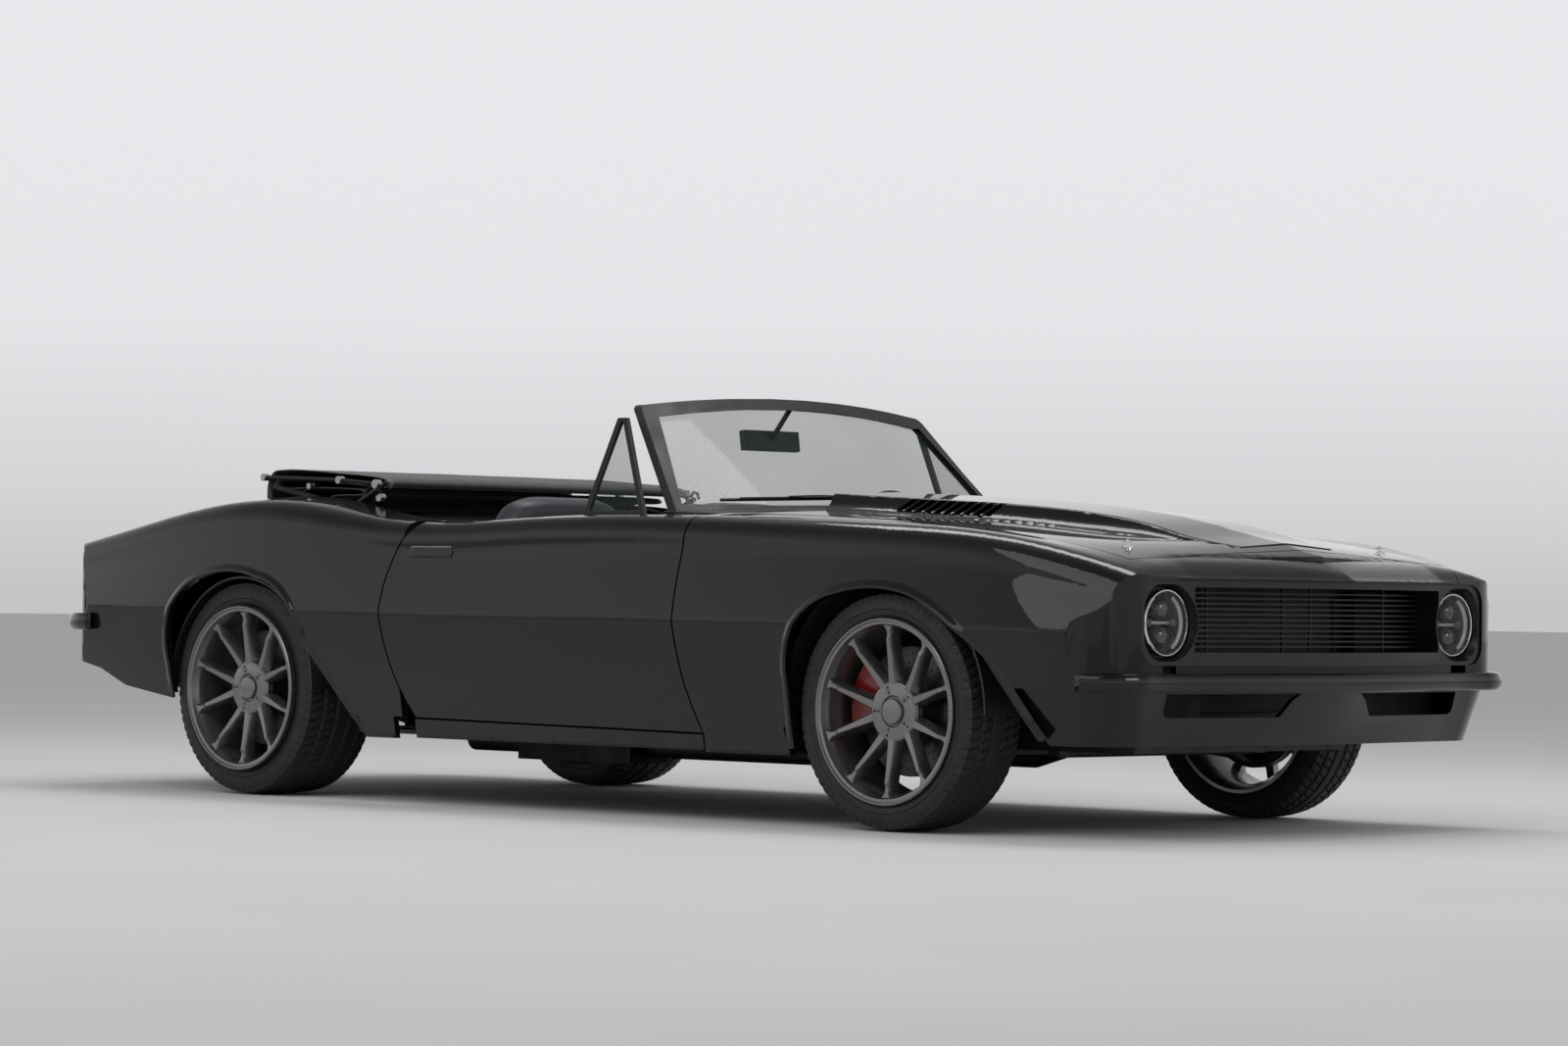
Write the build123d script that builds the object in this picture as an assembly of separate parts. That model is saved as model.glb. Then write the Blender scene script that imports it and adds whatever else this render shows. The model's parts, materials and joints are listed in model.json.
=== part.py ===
from build123d import *
from math import cos, sin, radians
import os

# Open-top muscle car, millimetres. +X forward, +Y left, +Z up.
# The origin is on the ground, midway along the overall length and on the centreline.

# Overall size and running gear
HALF_LENGTH = 2346.0
FRONT_AXLE_X = 1416.0
REAR_AXLE_X = -1330.0
WALL = 22.0
GAP = 6.0
SEAT = 0.3

# Wheels: one row per axle
# columns: tyre radius, tyre inner y, tyre outer y, rim lip y, axle x
WHEELS = {
    "front": (326.0, 650.0, 863.0, 866.0, FRONT_AXLE_X),
    "rear": (332.0, 583.0, 856.0, 872.0, REAR_AXLE_X),
}
RIM_LIP_RADIUS = 255.5
BEAD_RADIUS = 242.0
BARREL_RADIUS = 226.0
SPOKE_PAIRS = 5
SPOKE_WIDTH = 20.0
HUB_RADIUS = 78.0
CAP_RADIUS = 35.0
LUG_COUNT = 5
LUG_CIRCLE_RADIUS = 60.3
LUG_POCKET_RADIUS = 11.0
DISC_RADIUS = 178.0
DISC_THICKNESS = 32.0
DISC_HAT_RADIUS = 82.0
DISC_HAT_DEPTH = 45.0
CALIPER_CLEARANCE = 4.0
CALIPER_ARC = 62.0
KINGPIN_Y = 700.0
LINER_CLEARANCE = 46.0
LINER_THICKNESS = 5.0
HUB_FACE_SET_IN = 66.0
RUNNING = 5.0

# Body side master sections, one row per station from tail to nose
# columns: x, sill y, lower side y, crease y, crease z, upper y, crest y, crest z, top y, top z, centre z, ridge
# ridge is 0 where the top is a round crown and near 1 where it rises straight to a crease in the middle
STATIONS = [
    (-2320, 790, 836, 856, 584, 830, 786, 768, 600, 784, 800, 0),
    (-2000, 832, 868, 886, 582, 858, 812, 820, 620, 838, 858, 0),
    (-1640, 850, 884, 908, 580, 878, 826, 882, 650, 902, 920, 0),
    (-1330, 855, 888, 912, 578, 884, 828, 914, 690, 930, 940, 0),
    (-1000, 855, 886, 910, 576, 878, 826, 898, 700, 916, 926, 0),
    (-700, 855, 886, 905, 574, 868, 832, 857, 700, 866, 876, 0),
    (0, 855, 887, 903, 570, 866, 836, 858, 700, 866, 880, 0),
    (700, 855, 887, 904, 567, 864, 826, 858, 690, 870, 888, 0),
    (1100, 856, 888, 908, 564, 862, 812, 849, 686, 858, 866, 0),
    (1416, 858, 890, 912, 560, 860, 806, 838, 682, 842, 848, 0),
    (1850, 850, 882, 904, 556, 850, 794, 799, 680, 796, 815, 0.5),
    (2100, 834, 866, 884, 554, 830, 772, 744, 672, 752, 796, 0.9),
    (2340, 800, 830, 846, 552, 790, 735, 668, 655, 690, 702, 0.9),
]
SILL_Z = 196.0
LOWER_SIDE_Z = 400.0
UPPER_SIDE_DROP = 82.0

# Shut lines in side view: door, arches and end seams
DOOR_FRONT_X = 625.0
DOOR_REAR_X = -627.0
DOOR_BOTTOM_FRONT = (719.0, 250.0)
DOOR_BOTTOM_REAR = (-497.0, 262.0)
DOOR_THICKNESS = 140.0
DOOR_LEDGE_DEPTH = 42.0
DOOR_SKIN_Y = 903.0
HINGE_X = 750.0
HINGE_Y = 843.0
HINGE_PIN_RADIUS = 8.0
HINGE_KNUCKLE = 20.0
DOOR_HINGE_HEIGHTS = (345.0, 425.0)
DOOR_HEM = 9.0
DOOR_HEM_DEPTH = 26.0
LID_HEM = 8.0
LID_HEM_DEPTH = 18.0
ARCH_FRONT_TOP = 660.0
ARCH_REAR_TOP = 692.0
HOOD_REAR_X = 640.0
HOOD_FRONT_X = 2128.0
HOOD_HALF_WIDTH = 680.0
HOOD_V = 36.0
HEADER_TIP_Y = 608.0
SEAM = 3.0
HOOD_THICKNESS = 20.0
DECK_FRONT_X = -1590.0
DECK_REAR_X = -2236.0
DECK_HALF_WIDTH = 610.0
LID_THICKNESS = 20.0
TRUNK_PIVOT = (-1530.0, 890.0)
TRUNK_HINGE_Y = 505.0
HOOD_PIVOT = (575.0, 838.0)
HOOD_HINGE_Y = 600.0
GOOSENECK_WIDTH = 12.0
WELL_FRONT_X = -600.0
WELL_REAR_X = -1508.0
WELL_HALF_WIDTH = 690.0
COWL_FRONT_X = HOOD_REAR_X - GAP
COWL_REAR_X = 430.0

# Raised centre of the hood
# columns: x, half width at the top edge, half width at the foot, top edge z, centre z
SCOOP = [
    (HOOD_REAR_X + 2, 262, 318, 936, 946),
    (1100, 254, 312, 914, 928),
    (1600, 240, 300, 879, 890),
    (1850, 238, 286, 838, 850),
    (1985, 242, 254, 806, 819),
    (2110, 200, 214, 784, 797),
]
LOUVRE_FIRST_X = 905.0
LOUVRE_PITCH = 36.5
LOUVRE_COUNT = 10
LOUVRE_LEAN = 44.0
LOUVRE_FIN = 8.0
LOUVRE_DEPTH = 12.0
LOUVRE_LOW_Z = 886.0
LOUVRE_HIGH_Z = 922.0
LOUVRE_FALL = 0.048

# Nose, in plan and in front view
NOSE_PEAK_X = 2341.0
NOSE_CORNER_X = 2236.0
NOSE_CORNER_Y = 540.0
BROW_FOOT_RISE = 4.0
MOUTH_HALF_WIDTH = 742.0
MOUTH_BOTTOM_Z = 464.0
MOUTH_TOP_Z = 690.0
VALANCE_TOP_Z = 400.0
LAMP_Y = 625.0
LAMP_Z = 577.0
LAMP_RADIUS = 89.0
LAMP_FACE_X = 2214.0
LAMP_DEPTH = 64.0
LAMP_DOME = 18.0
# Projectors in a lamp
# columns: across, up, radius, height above the cup's floor
LAMP_PROJECTORS = [(0, 38, 27, 34), (0, -38, 27, 34), (46, 0, 12, 28), (-46, 0, 12, 28)]
GRILLE_BACK_X = 2140.0
GRILLE_OPENING_Z = (500.0, 672.0)
GRILLE_INNER_Y = 532.0
GRILLE_BAR_COUNT = 11
GRILLE_BAR_THICKNESS = 4.5
GRILLE_POSTS = (-385.0, -60.0, 60.0, 385.0)
FRONT_BLADE_DEPTH = 40.0
BUMPER_Z = (394.0, 444.0)
REAR_BUMPER_Z = (502.0, 556.0)
VALANCE_BOTTOM_Z = 250.0
VALANCE_WALL = 16.0
# Opening in the valance, front view, right-hand side as seen from the seat
# columns: y, z
VALANCE_OPENING = [(128, 390), (158, 372), (196, 326), (612, 326), (626, 334), (630, 346), (630, 390)]

# Cross-section of a bumper blade
# columns: share of the height from the bottom, how far the outer face is set in
BLADE_ROUND = [(0, 12), (0.07, 6), (0.22, 1.5), (0.5, 0), (0.78, 1.5), (0.93, 6), (1, 12)]

# Windscreen, side view and half widths
SCREEN_BASE = (432.0, 700.0, 884.0)
SCREEN_TOP = (176.0, 600.0, 1188.0)
SCREEN_BASE_BOW = 150.0
SCREEN_TOP_BOW = 70.0
HEADER_RISE = 40.0
PILLAR_SIZE = 34.0
GLASS_THICKNESS = 6.0
DOOR_LEDGE_Z = 855.0
VENT_TOP_Z = 1152.0
VENT_FOOT_Y = 782.0
VENT_HEAD_Y = 640.0
VENT_THICKNESS = 14.0
VENT_PANE = 5.0

# Cabin
FLOOR_Z = 205.0
FLOOR_THICKNESS = 12.0
BOOT_FLOOR_Z = 404.0
AXLE_DECK_Z = 470.0
BOOT_HALF_WIDTH = 560.0
FLOOR_HALF_WIDTH = 740.0
TUNNEL_HALF_WIDTH = 120.0
TUNNEL_TOP_Z = 400.0
SEAT_Y = 385.0
SEAT_HALF_WIDTH = 255.0
FIREWALL_X = 700.0
PLENUM_X = 500.0
PLENUM_Z = 738.0
WELL_SHELF_Z = 809.7
STEERING_HUB = (206.0, SEAT_Y, 789.0)
STEERING_TILT = 65.0


def station(x):
    """Master section at x, linear between the two nearest rows, for placing things on the body."""
    rows = sorted(STATIONS)
    for a, b in zip(rows, rows[1:]):
        if x <= b[0]:
            break
    t = (x - a[0]) / (b[0] - a[0])
    return [p + (q - p) * t for p, q in zip(a, b)]


def side_section(row, inset):
    """One closed cross-section of the body, its sides and top moved in by the inset."""
    x, sill, lower, crease, crease_z, upper, crest, crest_z, top, top_z, centre_z, ridge = row
    d = inset
    upper_z = crest_z - UPPER_SIDE_DROP
    half = [
        (sill - d, SILL_Z - d),
        (lower - d, LOWER_SIDE_Z),
        (crease - d, crease_z),
        (upper - d, upper_z),
        (crest - d * 0.6, crest_z - d * 0.9),
        (top - d * 0.2, top_z - d),
    ]
    bulge = ((upper + crest) / 2 + 13 - d * 0.8, (upper_z + crest_z) / 2 + 15 - d * 0.6)
    edges = []
    for side in (1, -1):
        points = [(side * y, z) for y, z in half]
        edges += [Line(points[i], points[i + 1]) for i in (0, 1, 2, 4)]
        edges.append(ThreePointArc(points[3], (side * bulge[0], bulge[1]), points[4]))
    low, high = half[0], half[-1]
    edges.append(Line((low[0], low[1]), (-low[0], low[1])))
    halfway_z = centre_z - d - (centre_z - top_z) * (1 + ridge) / 4
    for side in (1, -1):
        edges.append(ThreePointArc((side * high[0], high[1]), (side * high[0] / 2, halfway_z), (0, centre_z - d)))
    return Plane.YZ.offset(x) * make_face(Curve() + edges)


def body_hull(inset=0.0):
    """The whole outer form of the body as one solid, or its inner form at the inset."""
    return loft([side_section(row, inset) for row in STATIONS])


def side_prism(outline, y_from, y_to):
    """A side-view outline, in x and z, extruded between two y values."""
    face = Plane.XZ.offset(-y_from) * outline
    return extrude(face, amount=y_to - y_from, dir=(0, 1, 0))


def plan_prism(outline, z_from, z_to):
    return extrude(Plane.XY.offset(z_from) * outline, amount=z_to - z_from)


def box(x, y, z):
    """A box from three ranges."""
    size = (x[1] - x[0], y[1] - y[0], z[1] - z[0])
    centre = ((x[0] + x[1]) / 2, (y[0] + y[1]) / 2, (z[0] + z[1]) / 2)
    return Pos(*centre) * Box(*size)


def both_sides(shape):
    """A shape and its mirror image across the centreline."""
    return shape + mirror(shape, Plane.XZ)


def bar(start, end, radius):
    """A round bar between two points."""
    direction = Vector(*end) - Vector(*start)
    plane = Plane(origin=start, z_dir=direction)
    return extrude(plane * Circle(radius), amount=direction.length)


def polygon(*points):
    return make_face(Polyline(*points, close=True))


# Shut lines

def grown_outline(points, middles, grow):
    """Closed clockwise face through points, moved out by grow; middles index the points inside arcs."""
    count = len(points)
    moved = []
    for index, point in enumerate(points):
        here = Vector(*point)
        into = (here - Vector(*points[index - 1])).normalized()
        away = (Vector(*points[(index + 1) % count]) - here).normalized()
        normal_in = Vector(-into.Y, into.X)
        normal_out = Vector(-away.Y, away.X)
        moved.append(here + (normal_in + normal_out) * (grow / (1 + normal_in.dot(normal_out))))
    edges = []
    for index in range(count):
        if index in middles:
            continue
        after = (index + 1) % count
        if after in middles:
            edges.append(ThreePointArc(moved[index], moved[after], moved[(index + 2) % count]))
        else:
            edges.append(Line(moved[index], moved[after]))
    return make_face(Curve() + edges)


def door_outline(grow=0.0):
    """Side view of either door, its edges moved out by grow."""
    front, rear, top = DOOR_FRONT_X, DOOR_REAR_X, 1000.0
    points = [
        (front + 24, top), (front + 17, 834), (front + 1, 680), (front + 4, 540), (front + 36, 392),
        DOOR_BOTTOM_FRONT, DOOR_BOTTOM_REAR, (rear + 38, 414), (rear + 1, 540), (rear + 4, 660),
        (rear + 43, 764), (rear + 86, 812), (rear + 136, 852), (rear + 136, top),
    ]
    return grown_outline(points, {2, 4, 7, 9, 11}, grow)


def arch_outline(axle, grow=0.0):
    """The wheel opening in side view, open at the bottom."""
    g = grow
    if axle == "front":
        x, top = FRONT_AXLE_X, ARCH_FRONT_TOP + g
        rear, corner, front, foot = x - 340 - g, x - 166, x + 394 + g, x + 673 + g
        top_x, shoulder_z = x - 22, 482.0
    else:
        x, top = REAR_AXLE_X, ARCH_REAR_TOP + g
        rear, corner, front, foot = x - 326 - g, x - 150, x + 336 + g, x + 680 + g
        top_x, shoulder_z = x - 20, 484.0
    edges = [
        Line((rear, 100), (rear, 400)),
        ThreePointArc((rear, 400), (rear + 58, top - 80), (corner, top - 18)),
        ThreePointArc((corner, top - 18), (top_x, top), (x + 120, top - 20)),
        ThreePointArc((x + 120, top - 20), (x + 268, top - 92), (front, shoulder_z)),
        Line((front, shoulder_z), (foot, 100)),
        Line((foot, 100), (rear, 100)),
    ]
    return make_face(Curve() + edges)


def nose_plan(inset=0.0):
    """Plan of the body ends: the shallow V of the nose and the rounded tail."""
    d = inset
    right = [
        Line((NOSE_PEAK_X - d, 0), (NOSE_CORNER_X - d, NOSE_CORNER_Y - d * 0.5)),
        Line((NOSE_CORNER_X - d, NOSE_CORNER_Y - d * 0.5), (NOSE_CORNER_X - 8 - d, 720 - d)),
        ThreePointArc((NOSE_CORNER_X - 8 - d, 720 - d), (2200 - d, 804 - d), (2122 - d, 860 - d)),
        Line((2122 - d, 860 - d), (1950, 930)),
        Line((1950, 930), (-1950, 930)),
        Line((-1950, 930), (-2120 + d, 862 - d)),
        ThreePointArc((-2120 + d, 862 - d), (-2212 + d, 800 - d), (-2250 + d, 700 - d)),
        ThreePointArc((-2250 + d, 700 - d), (-2285 + d, 400), (-2296 + d, 0)),
        Line((-2296 + d, 0), (NOSE_PEAK_X - d, 0)),
    ]
    half = make_face(Curve() + right)
    return half + mirror(half, Plane.XZ)


def body_side_view():
    """Side view of the body: lower edge behind the rear wheel and in front of the front wheel."""
    return polygon(
        (-2400, 404), (-2150, 400), (-2040, 380), (-1907, 328), (-1690, 297), (-1640, 290),
        (-1640, SILL_Z - 30), (1840, SILL_Z - 30), (1840, 400), (2400, 400), (2400, 1100), (-2400, 1100),
    )


def brow():
    """What the rolled front edge of the nose leaves off, along the V and then straight across the lamps."""
    rise, foot = 1000.0, MOUTH_TOP_Z + BROW_FOOT_RISE
    profile = make_face(Curve() + [
        ThreePointArc((NOSE_PEAK_X - 101, foot + 57), (NOSE_PEAK_X - 41, foot + 33), (NOSE_PEAK_X + 1, foot)),
        Line((NOSE_PEAK_X + 1, foot), (NOSE_PEAK_X + 300, foot)),
        Line((NOSE_PEAK_X + 300, foot), (NOSE_PEAK_X + 300, rise)),
        Line((NOSE_PEAK_X + 300, rise), (NOSE_PEAK_X - 101, rise)),
        Line((NOSE_PEAK_X - 101, rise), (NOSE_PEAK_X - 101, foot + 57)),
    ])
    back = NOSE_CORNER_X - NOSE_PEAK_X
    sweep = Vector(back, NOSE_CORNER_Y, 0)
    slant = extrude(Plane.XZ * profile, amount=sweep.length, dir=sweep.normalized())
    across = extrude(Plane.XZ.offset(-NOSE_CORNER_Y) * Pos(back, 0) * profile, amount=400, dir=(0, 1, 0))
    return both_sides(slant) + both_sides(across)


OUTER = body_hull() & plan_prism(nose_plan(), 100, 1100) & side_prism(body_side_view(), -950, 950)
OUTER = OUTER - brow()
INNER = body_hull(WALL) & plan_prism(nose_plan(WALL), 50, 1100)


def skin(region):
    """The part of the body's shell that lies in a region."""
    return (OUTER & region) - INNER


def wheelhouse(axle, radius_gap, y_inner, y_outer):
    """Round clearance about one axle on both sides of the car."""
    radius, _, _, _, x = WHEELS[axle]
    drum = Pos(x, 0, radius) * Rot(90, 0, 0) * Cylinder(radius + radius_gap, 2 * y_outer)
    core = box((x - 600, x + 600), (-y_inner, y_inner), (-200, 1200))
    return drum - core


def fender(side):
    y = (660, 960) if side > 0 else (-960, -660)
    tip_y = (600, 662) if side > 0 else (-662, -600)
    shape = skin(box((HOOD_REAR_X - 200, 2400), y, (SILL_Z, 1000)) + box((HOOD_FRONT_X, 2400), tip_y, (650, 1000)))
    hood_y = HOOD_HALF_WIDTH + GAP
    hood_line = box((HOOD_REAR_X - GAP, HOOD_FRONT_X + GAP), (-hood_y, hood_y), (600, 1100))
    header = plan_prism(header_plan(SEAM), 400, 1100)
    cowl = box((0, HOOD_REAR_X), (-718, 718), (500, 1100))
    behind = side_prism(door_outline(GAP), -960, 960) + box((-2400, DOOR_FRONT_X), (-960, 960), (0, 1100))
    sill_step = box((0, 721 + GAP), (-960, 960), (0, DOOR_BOTTOM_FRONT[1]))
    arch = side_prism(arch_outline("front"), -960, 960)
    shape = shape - hood_line - header - cowl - behind - sill_step - arch
    mouth = extrude(Plane.YZ.offset(2060) * mouth_face(0), amount=400)
    return largest(shape - mouth - wheelhouse("front", LINER_CLEARANCE + LINER_THICKNESS + SEAT, 460, 868))


def largest(shape):
    return sorted(shape.solids(), key=lambda s: s.volume)[-1]


def mouth_face(grow):
    """Front view of the mouth that holds the lamps and the grille."""
    width = 2 * (MOUTH_HALF_WIDTH + grow)
    height = MOUTH_TOP_Z - MOUTH_BOTTOM_Z + 2 * grow
    return Pos(0, (MOUTH_TOP_Z + MOUTH_BOTTOM_Z) / 2) * RectangleRounded(width, height, 60 + grow)


def door(side):
    """A door as thick as the whole real door, narrower inside than outside so that it swings clear."""
    skin_y = 960 * side
    inner_y = (DOOR_SKIN_Y - DOOR_THICKNESS) * side
    face = Plane.XZ.offset(-inner_y) * door_outline(0)
    depth = abs(skin_y - inner_y)
    prism = extrude(face, amount=depth, dir=(0, side, 0))
    ledge = DOOR_SKIN_Y - DOOR_THICKNESS + DOOR_LEDGE_DEPTH
    shape = (OUTER & prism) - box((-2000, 2000), (-ledge, ledge), (DOOR_LEDGE_Z, 1100))
    heel = Plane.XY.offset(100) * polygon(
        (DOOR_REAR_X - 20, inner_y - 5 * side), (DOOR_REAR_X + 14, inner_y - 5 * side),
        (DOOR_REAR_X - 20, (DOOR_SKIN_Y - 20) * side),
    )
    edge = side_prism(door_outline(0), -960, 960) - side_prism(door_outline(-DOOR_HEM_DEPTH), -960, 960)
    rabbet = edge & box((560, 800), (-960, 960), (0, 1000)) & body_hull(DOOR_HEM)
    shape = largest(shape - extrude(heel, amount=1000) - rabbet)
    for z in DOOR_HINGE_HEIGHTS:
        shape += door_hinge_arm(z, side)
    return largest(shape)


def door_hinge_arm(z, side):
    """Goose-necked arm from the hinge line inward and back to the door's inner front edge."""
    x, y, half = HINGE_X, HINGE_Y * side, HINGE_KNUCKLE / 2
    elbow = (x - 45, y - 97 * side)
    tip = (x - 145, y - 74 * side)
    eye = Pos(x, y, z + half) * Cylinder(HINGE_PIN_RADIUS, HINGE_KNUCKLE)
    arm = eye
    for start, end in (((x, y), elbow), (elbow, tip)):
        run = Vector(*end) - Vector(*start)
        angle = Vector(1, 0).get_signed_angle(run, Vector(0, 0, 1))
        middle = (Vector(*start) + Vector(*end)) * 0.5
        arm += Pos(middle.X, middle.Y, z + half) * Rot(0, 0, angle) * Box(run.length + 8, 9, HINGE_KNUCKLE)
    return arm


def rocker(side):
    y = (740, 960) if side > 0 else (-960, -740)
    region = box((-800, DOOR_BOTTOM_FRONT[0] + 2), y, (SILL_Z + 2, DOOR_BOTTOM_REAR[1] - GAP))
    shape = OUTER & region
    shape = shape - side_prism(door_outline(GAP), -960, 960)
    back = polygon((-1000, 150), (-1000, 400), (-503, 400), (-503, 150))
    return largest(shape - side_prism(back, -960, 960))


def rear_body():
    """Quarters, tail and the panels round the deck lid and the folded top's well, in one shell."""
    region = box((-2400, -300), (-960, 960), (SILL_Z, 1100))
    shape = skin(region)
    shape = shape - side_prism(door_outline(GAP), -960, 960)
    shape = shape - box((-560, 100), (-960, 960), (0, 1100)) - box((-600, 0), (-960, 960), (-1, 262))
    well = Plane.XY.offset(700) * Pos((WELL_FRONT_X + 400 + WELL_REAR_X) / 2, 0) * RectangleRounded(
        WELL_FRONT_X + 400 - WELL_REAR_X, 2 * WELL_HALF_WIDTH, 60)
    shape = shape - extrude(well, amount=500)
    shape = shape - plan_prism(deck_plan(GAP), 700, 1100)
    shape = shape - side_prism(arch_outline("rear"), -960, 960)
    shape = shape - wheelhouse("rear", 14, 570, 864)
    lug_top = station(TRUNK_PIVOT[0])[9] - 2
    return largest(shape + hinge_lug(TRUNK_PIVOT, lug_top, TRUNK_HINGE_Y + 15 + SEAT))


def deck_plan(grow=0.0):
    length = DECK_FRONT_X - DECK_REAR_X + 2 * grow
    return Pos((DECK_FRONT_X + DECK_REAR_X) / 2, 0) * RectangleRounded(length, 2 * (DECK_HALF_WIDTH + grow), 40)


def top_layer(thickness, region):
    """A sheet that follows the top of the body, as thick as said."""
    return (OUTER & region) - Pos(0, 0, -thickness) * OUTER


def hinge_rabbet(x_from, x_to):
    """What is cut from under a lid's hinge edge, so that only its hem passes the fixed panel."""
    return box((x_from, x_to), (-960, 960), (600, 1100)) & Pos(0, 0, -LID_HEM) * OUTER


def gooseneck(pivot, reach, depth, top_z, y_from, y_to):
    """Hinge arm hanging from a pivot, going down, along and up to a lid's underside."""
    x, z = pivot
    half = GOOSENECK_WIDTH / 2
    ahead = 1 if reach > 0 else -1
    low = z - depth
    drop = box((x - half, x + half), (y_from, y_to), (low - half, z))
    run_x = sorted((x - ahead * half, x + reach + ahead * half))
    run = box(run_x, (y_from, y_to), (low - half, low + half))
    rise = box((x + reach - half, x + reach + half), (y_from, y_to), (low - half, top_z))
    eye = Pos(x, (y_from + y_to) / 2, z) * Rot(90, 0, 0) * Cylinder(HINGE_PIN_RADIUS, y_to - y_from)
    return both_sides(drop + run + rise + eye)


def hinge_lug(pivot, top_z, y_from):
    """Fixed knuckle beside a gooseneck, hanging from the panel above it."""
    x, z = pivot
    y_to = y_from + 15
    eye = Pos(x, (y_from + y_to) / 2, z) * Rot(90, 0, 0) * Cylinder(HINGE_PIN_RADIUS, y_to - y_from)
    web = box((x - HINGE_PIN_RADIUS, x + HINGE_PIN_RADIUS), (y_from, y_to), (z, top_z))
    return both_sides(eye + web)


def trunk_lid():
    lid = largest(top_layer(LID_THICKNESS, plan_prism(deck_plan(), 700, 1100)))
    lid = lid - hinge_rabbet(DECK_FRONT_X - LID_HEM_DEPTH, DECK_FRONT_X + 1)
    under = station(TRUNK_PIVOT[0])[9] - 4
    arms = gooseneck(TRUNK_PIVOT, -85, 75, under, TRUNK_HINGE_Y, TRUNK_HINGE_Y + 15)
    return largest(lid + arms)


def hood():
    plan = polygon(
        (HOOD_REAR_X, -HOOD_HALF_WIDTH), (HOOD_FRONT_X, -HOOD_HALF_WIDTH),
        (HOOD_FRONT_X + HOOD_V, 0), (HOOD_FRONT_X, HOOD_HALF_WIDTH), (HOOD_REAR_X, HOOD_HALF_WIDTH),
    )
    sheet = largest(top_layer(HOOD_THICKNESS, plan_prism(plan, 600, 1100)))
    under = station(HOOD_PIVOT[0])[9] - 6
    arms = gooseneck(HOOD_PIVOT, 95, 85, under, HOOD_HINGE_Y, HOOD_HINGE_Y + 15)
    sheet = louvred(sheet + scoop()) - hinge_rabbet(HOOD_REAR_X - 1, HOOD_REAR_X + LID_HEM_DEPTH)
    return largest(sheet + arms)


def top_height(x, y):
    """Height of the body's crown at a point in plan, near enough to sink a raised form into it."""
    row = station(x)
    top_y, top_z, centre_z, ridge = row[8:12]
    share = abs(y) / top_y
    return centre_z - (centre_z - top_z) * (ridge * share + (1 - ridge) * share**2)


def scoop(grow=0.0):
    """Raised hood centre with a crease in the middle and hollow-sided flanks, widened by grow."""
    sections = []
    for x, top, foot, edge_z, centre_z in SCOOP:
        top, foot = top + grow, foot + grow
        low_z = top_height(x, foot) - 3
        hollow = min(9.0, (edge_z - low_z) * 0.16)
        middle = ((top + foot) / 2 - hollow, (edge_z + low_z) / 2 - hollow)
        edges = [Line((-foot, low_z - 16), (foot, low_z - 16))]
        for side in (1, -1):
            edges.append(Line((side * foot, low_z - 16), (side * foot, low_z)))
            edges.append(ThreePointArc((side * foot, low_z), (side * middle[0], middle[1]), (side * top, edge_z)))
            edges.append(Line((side * top, edge_z), (0, centre_z)))
        sections.append(Plane.YZ.offset(x) * make_face(Curve() + edges))
    return loft(sections, ruled=True)


def louvre_band(x_from, x_to):
    """Side view of a slanted stretch of the louvre panel, its foot between two x values."""
    low, high = LOUVRE_LOW_Z, LOUVRE_HIGH_Z
    fall = LOUVRE_FALL
    points = []
    for x, z, lean in ((x_from, low, 0), (x_from, high, LOUVRE_LEAN), (x_to, high, LOUVRE_LEAN), (x_to, low, 0)):
        points.append((x + lean, z - (x + lean - LOUVRE_FIRST_X) * fall))
    return side_prism(polygon(*points), -400, 400)


def louvred(sheet):
    """The hood with a row of slanted fins let into each flank of its raised centre."""
    length = LOUVRE_PITCH * LOUVRE_COUNT - LOUVRE_FIN
    pocket = louvre_band(LOUVRE_FIRST_X, LOUVRE_FIRST_X + length) - box((0, 2000), (-180, 180), (0, 1100))
    sheet = sheet - (pocket - scoop(-LOUVRE_DEPTH))
    for i in range(LOUVRE_COUNT - 1):
        x = LOUVRE_FIRST_X + LOUVRE_PITCH * (i + 1) - LOUVRE_FIN
        sheet += (louvre_band(x, x + LOUVRE_FIN) - box((0, 2000), (-200, 200), (0, 1100))) & scoop(2)
    return sheet


def header_plan(grow=0.0):
    """Plan of the panel ahead of the hood, its side seams running inward to the mouth."""
    back, edge, tip = HOOD_FRONT_X + GAP, HOOD_HALF_WIDTH - GAP + grow, HEADER_TIP_Y + grow
    right = [(2400, -tip), (NOSE_CORNER_X + 10, -tip), (2190, -tip - 42), (back, -edge)]
    left = [(x, -y) for x, y in reversed(right)]
    return polygon(*right, (back + HOOD_V, 0), *left)


def header_panel():
    return largest((OUTER & plan_prism(header_plan(), MOUTH_TOP_Z, 1100)) - INNER)


# Wheels, each built on the axle line with local z outward

def axle_frame(axle, side):
    """Plane at a wheel's centre on the car's centreline, its normal pointing outward."""
    radius, _, _, _, x = WHEELS[axle]
    return Plane(origin=(x, 0, radius), x_dir=(1, 0, 0), z_dir=(0, side, 0))


def turned(points):
    """A ring turned from a profile given as radius and distance out from the centreline."""
    profile = make_face(Polyline(*[(r, 0, h) for r, h in points], close=True))
    return revolve(profile, axis=Axis.Z, revolution_arc=360)


def tyre(axle):
    radius, inner, outer, lip, _ = WHEELS[axle]
    side_radius = (BEAD_RADIUS + radius) / 2
    return turned([
        (BEAD_RADIUS + SEAT, inner + 14), (side_radius, inner), (radius - 16, inner + 7), (radius, inner + 24),
        (radius, outer - 24), (radius - 16, outer - 7), (side_radius, outer), (BEAD_RADIUS + SEAT, outer - 16),
    ])


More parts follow.
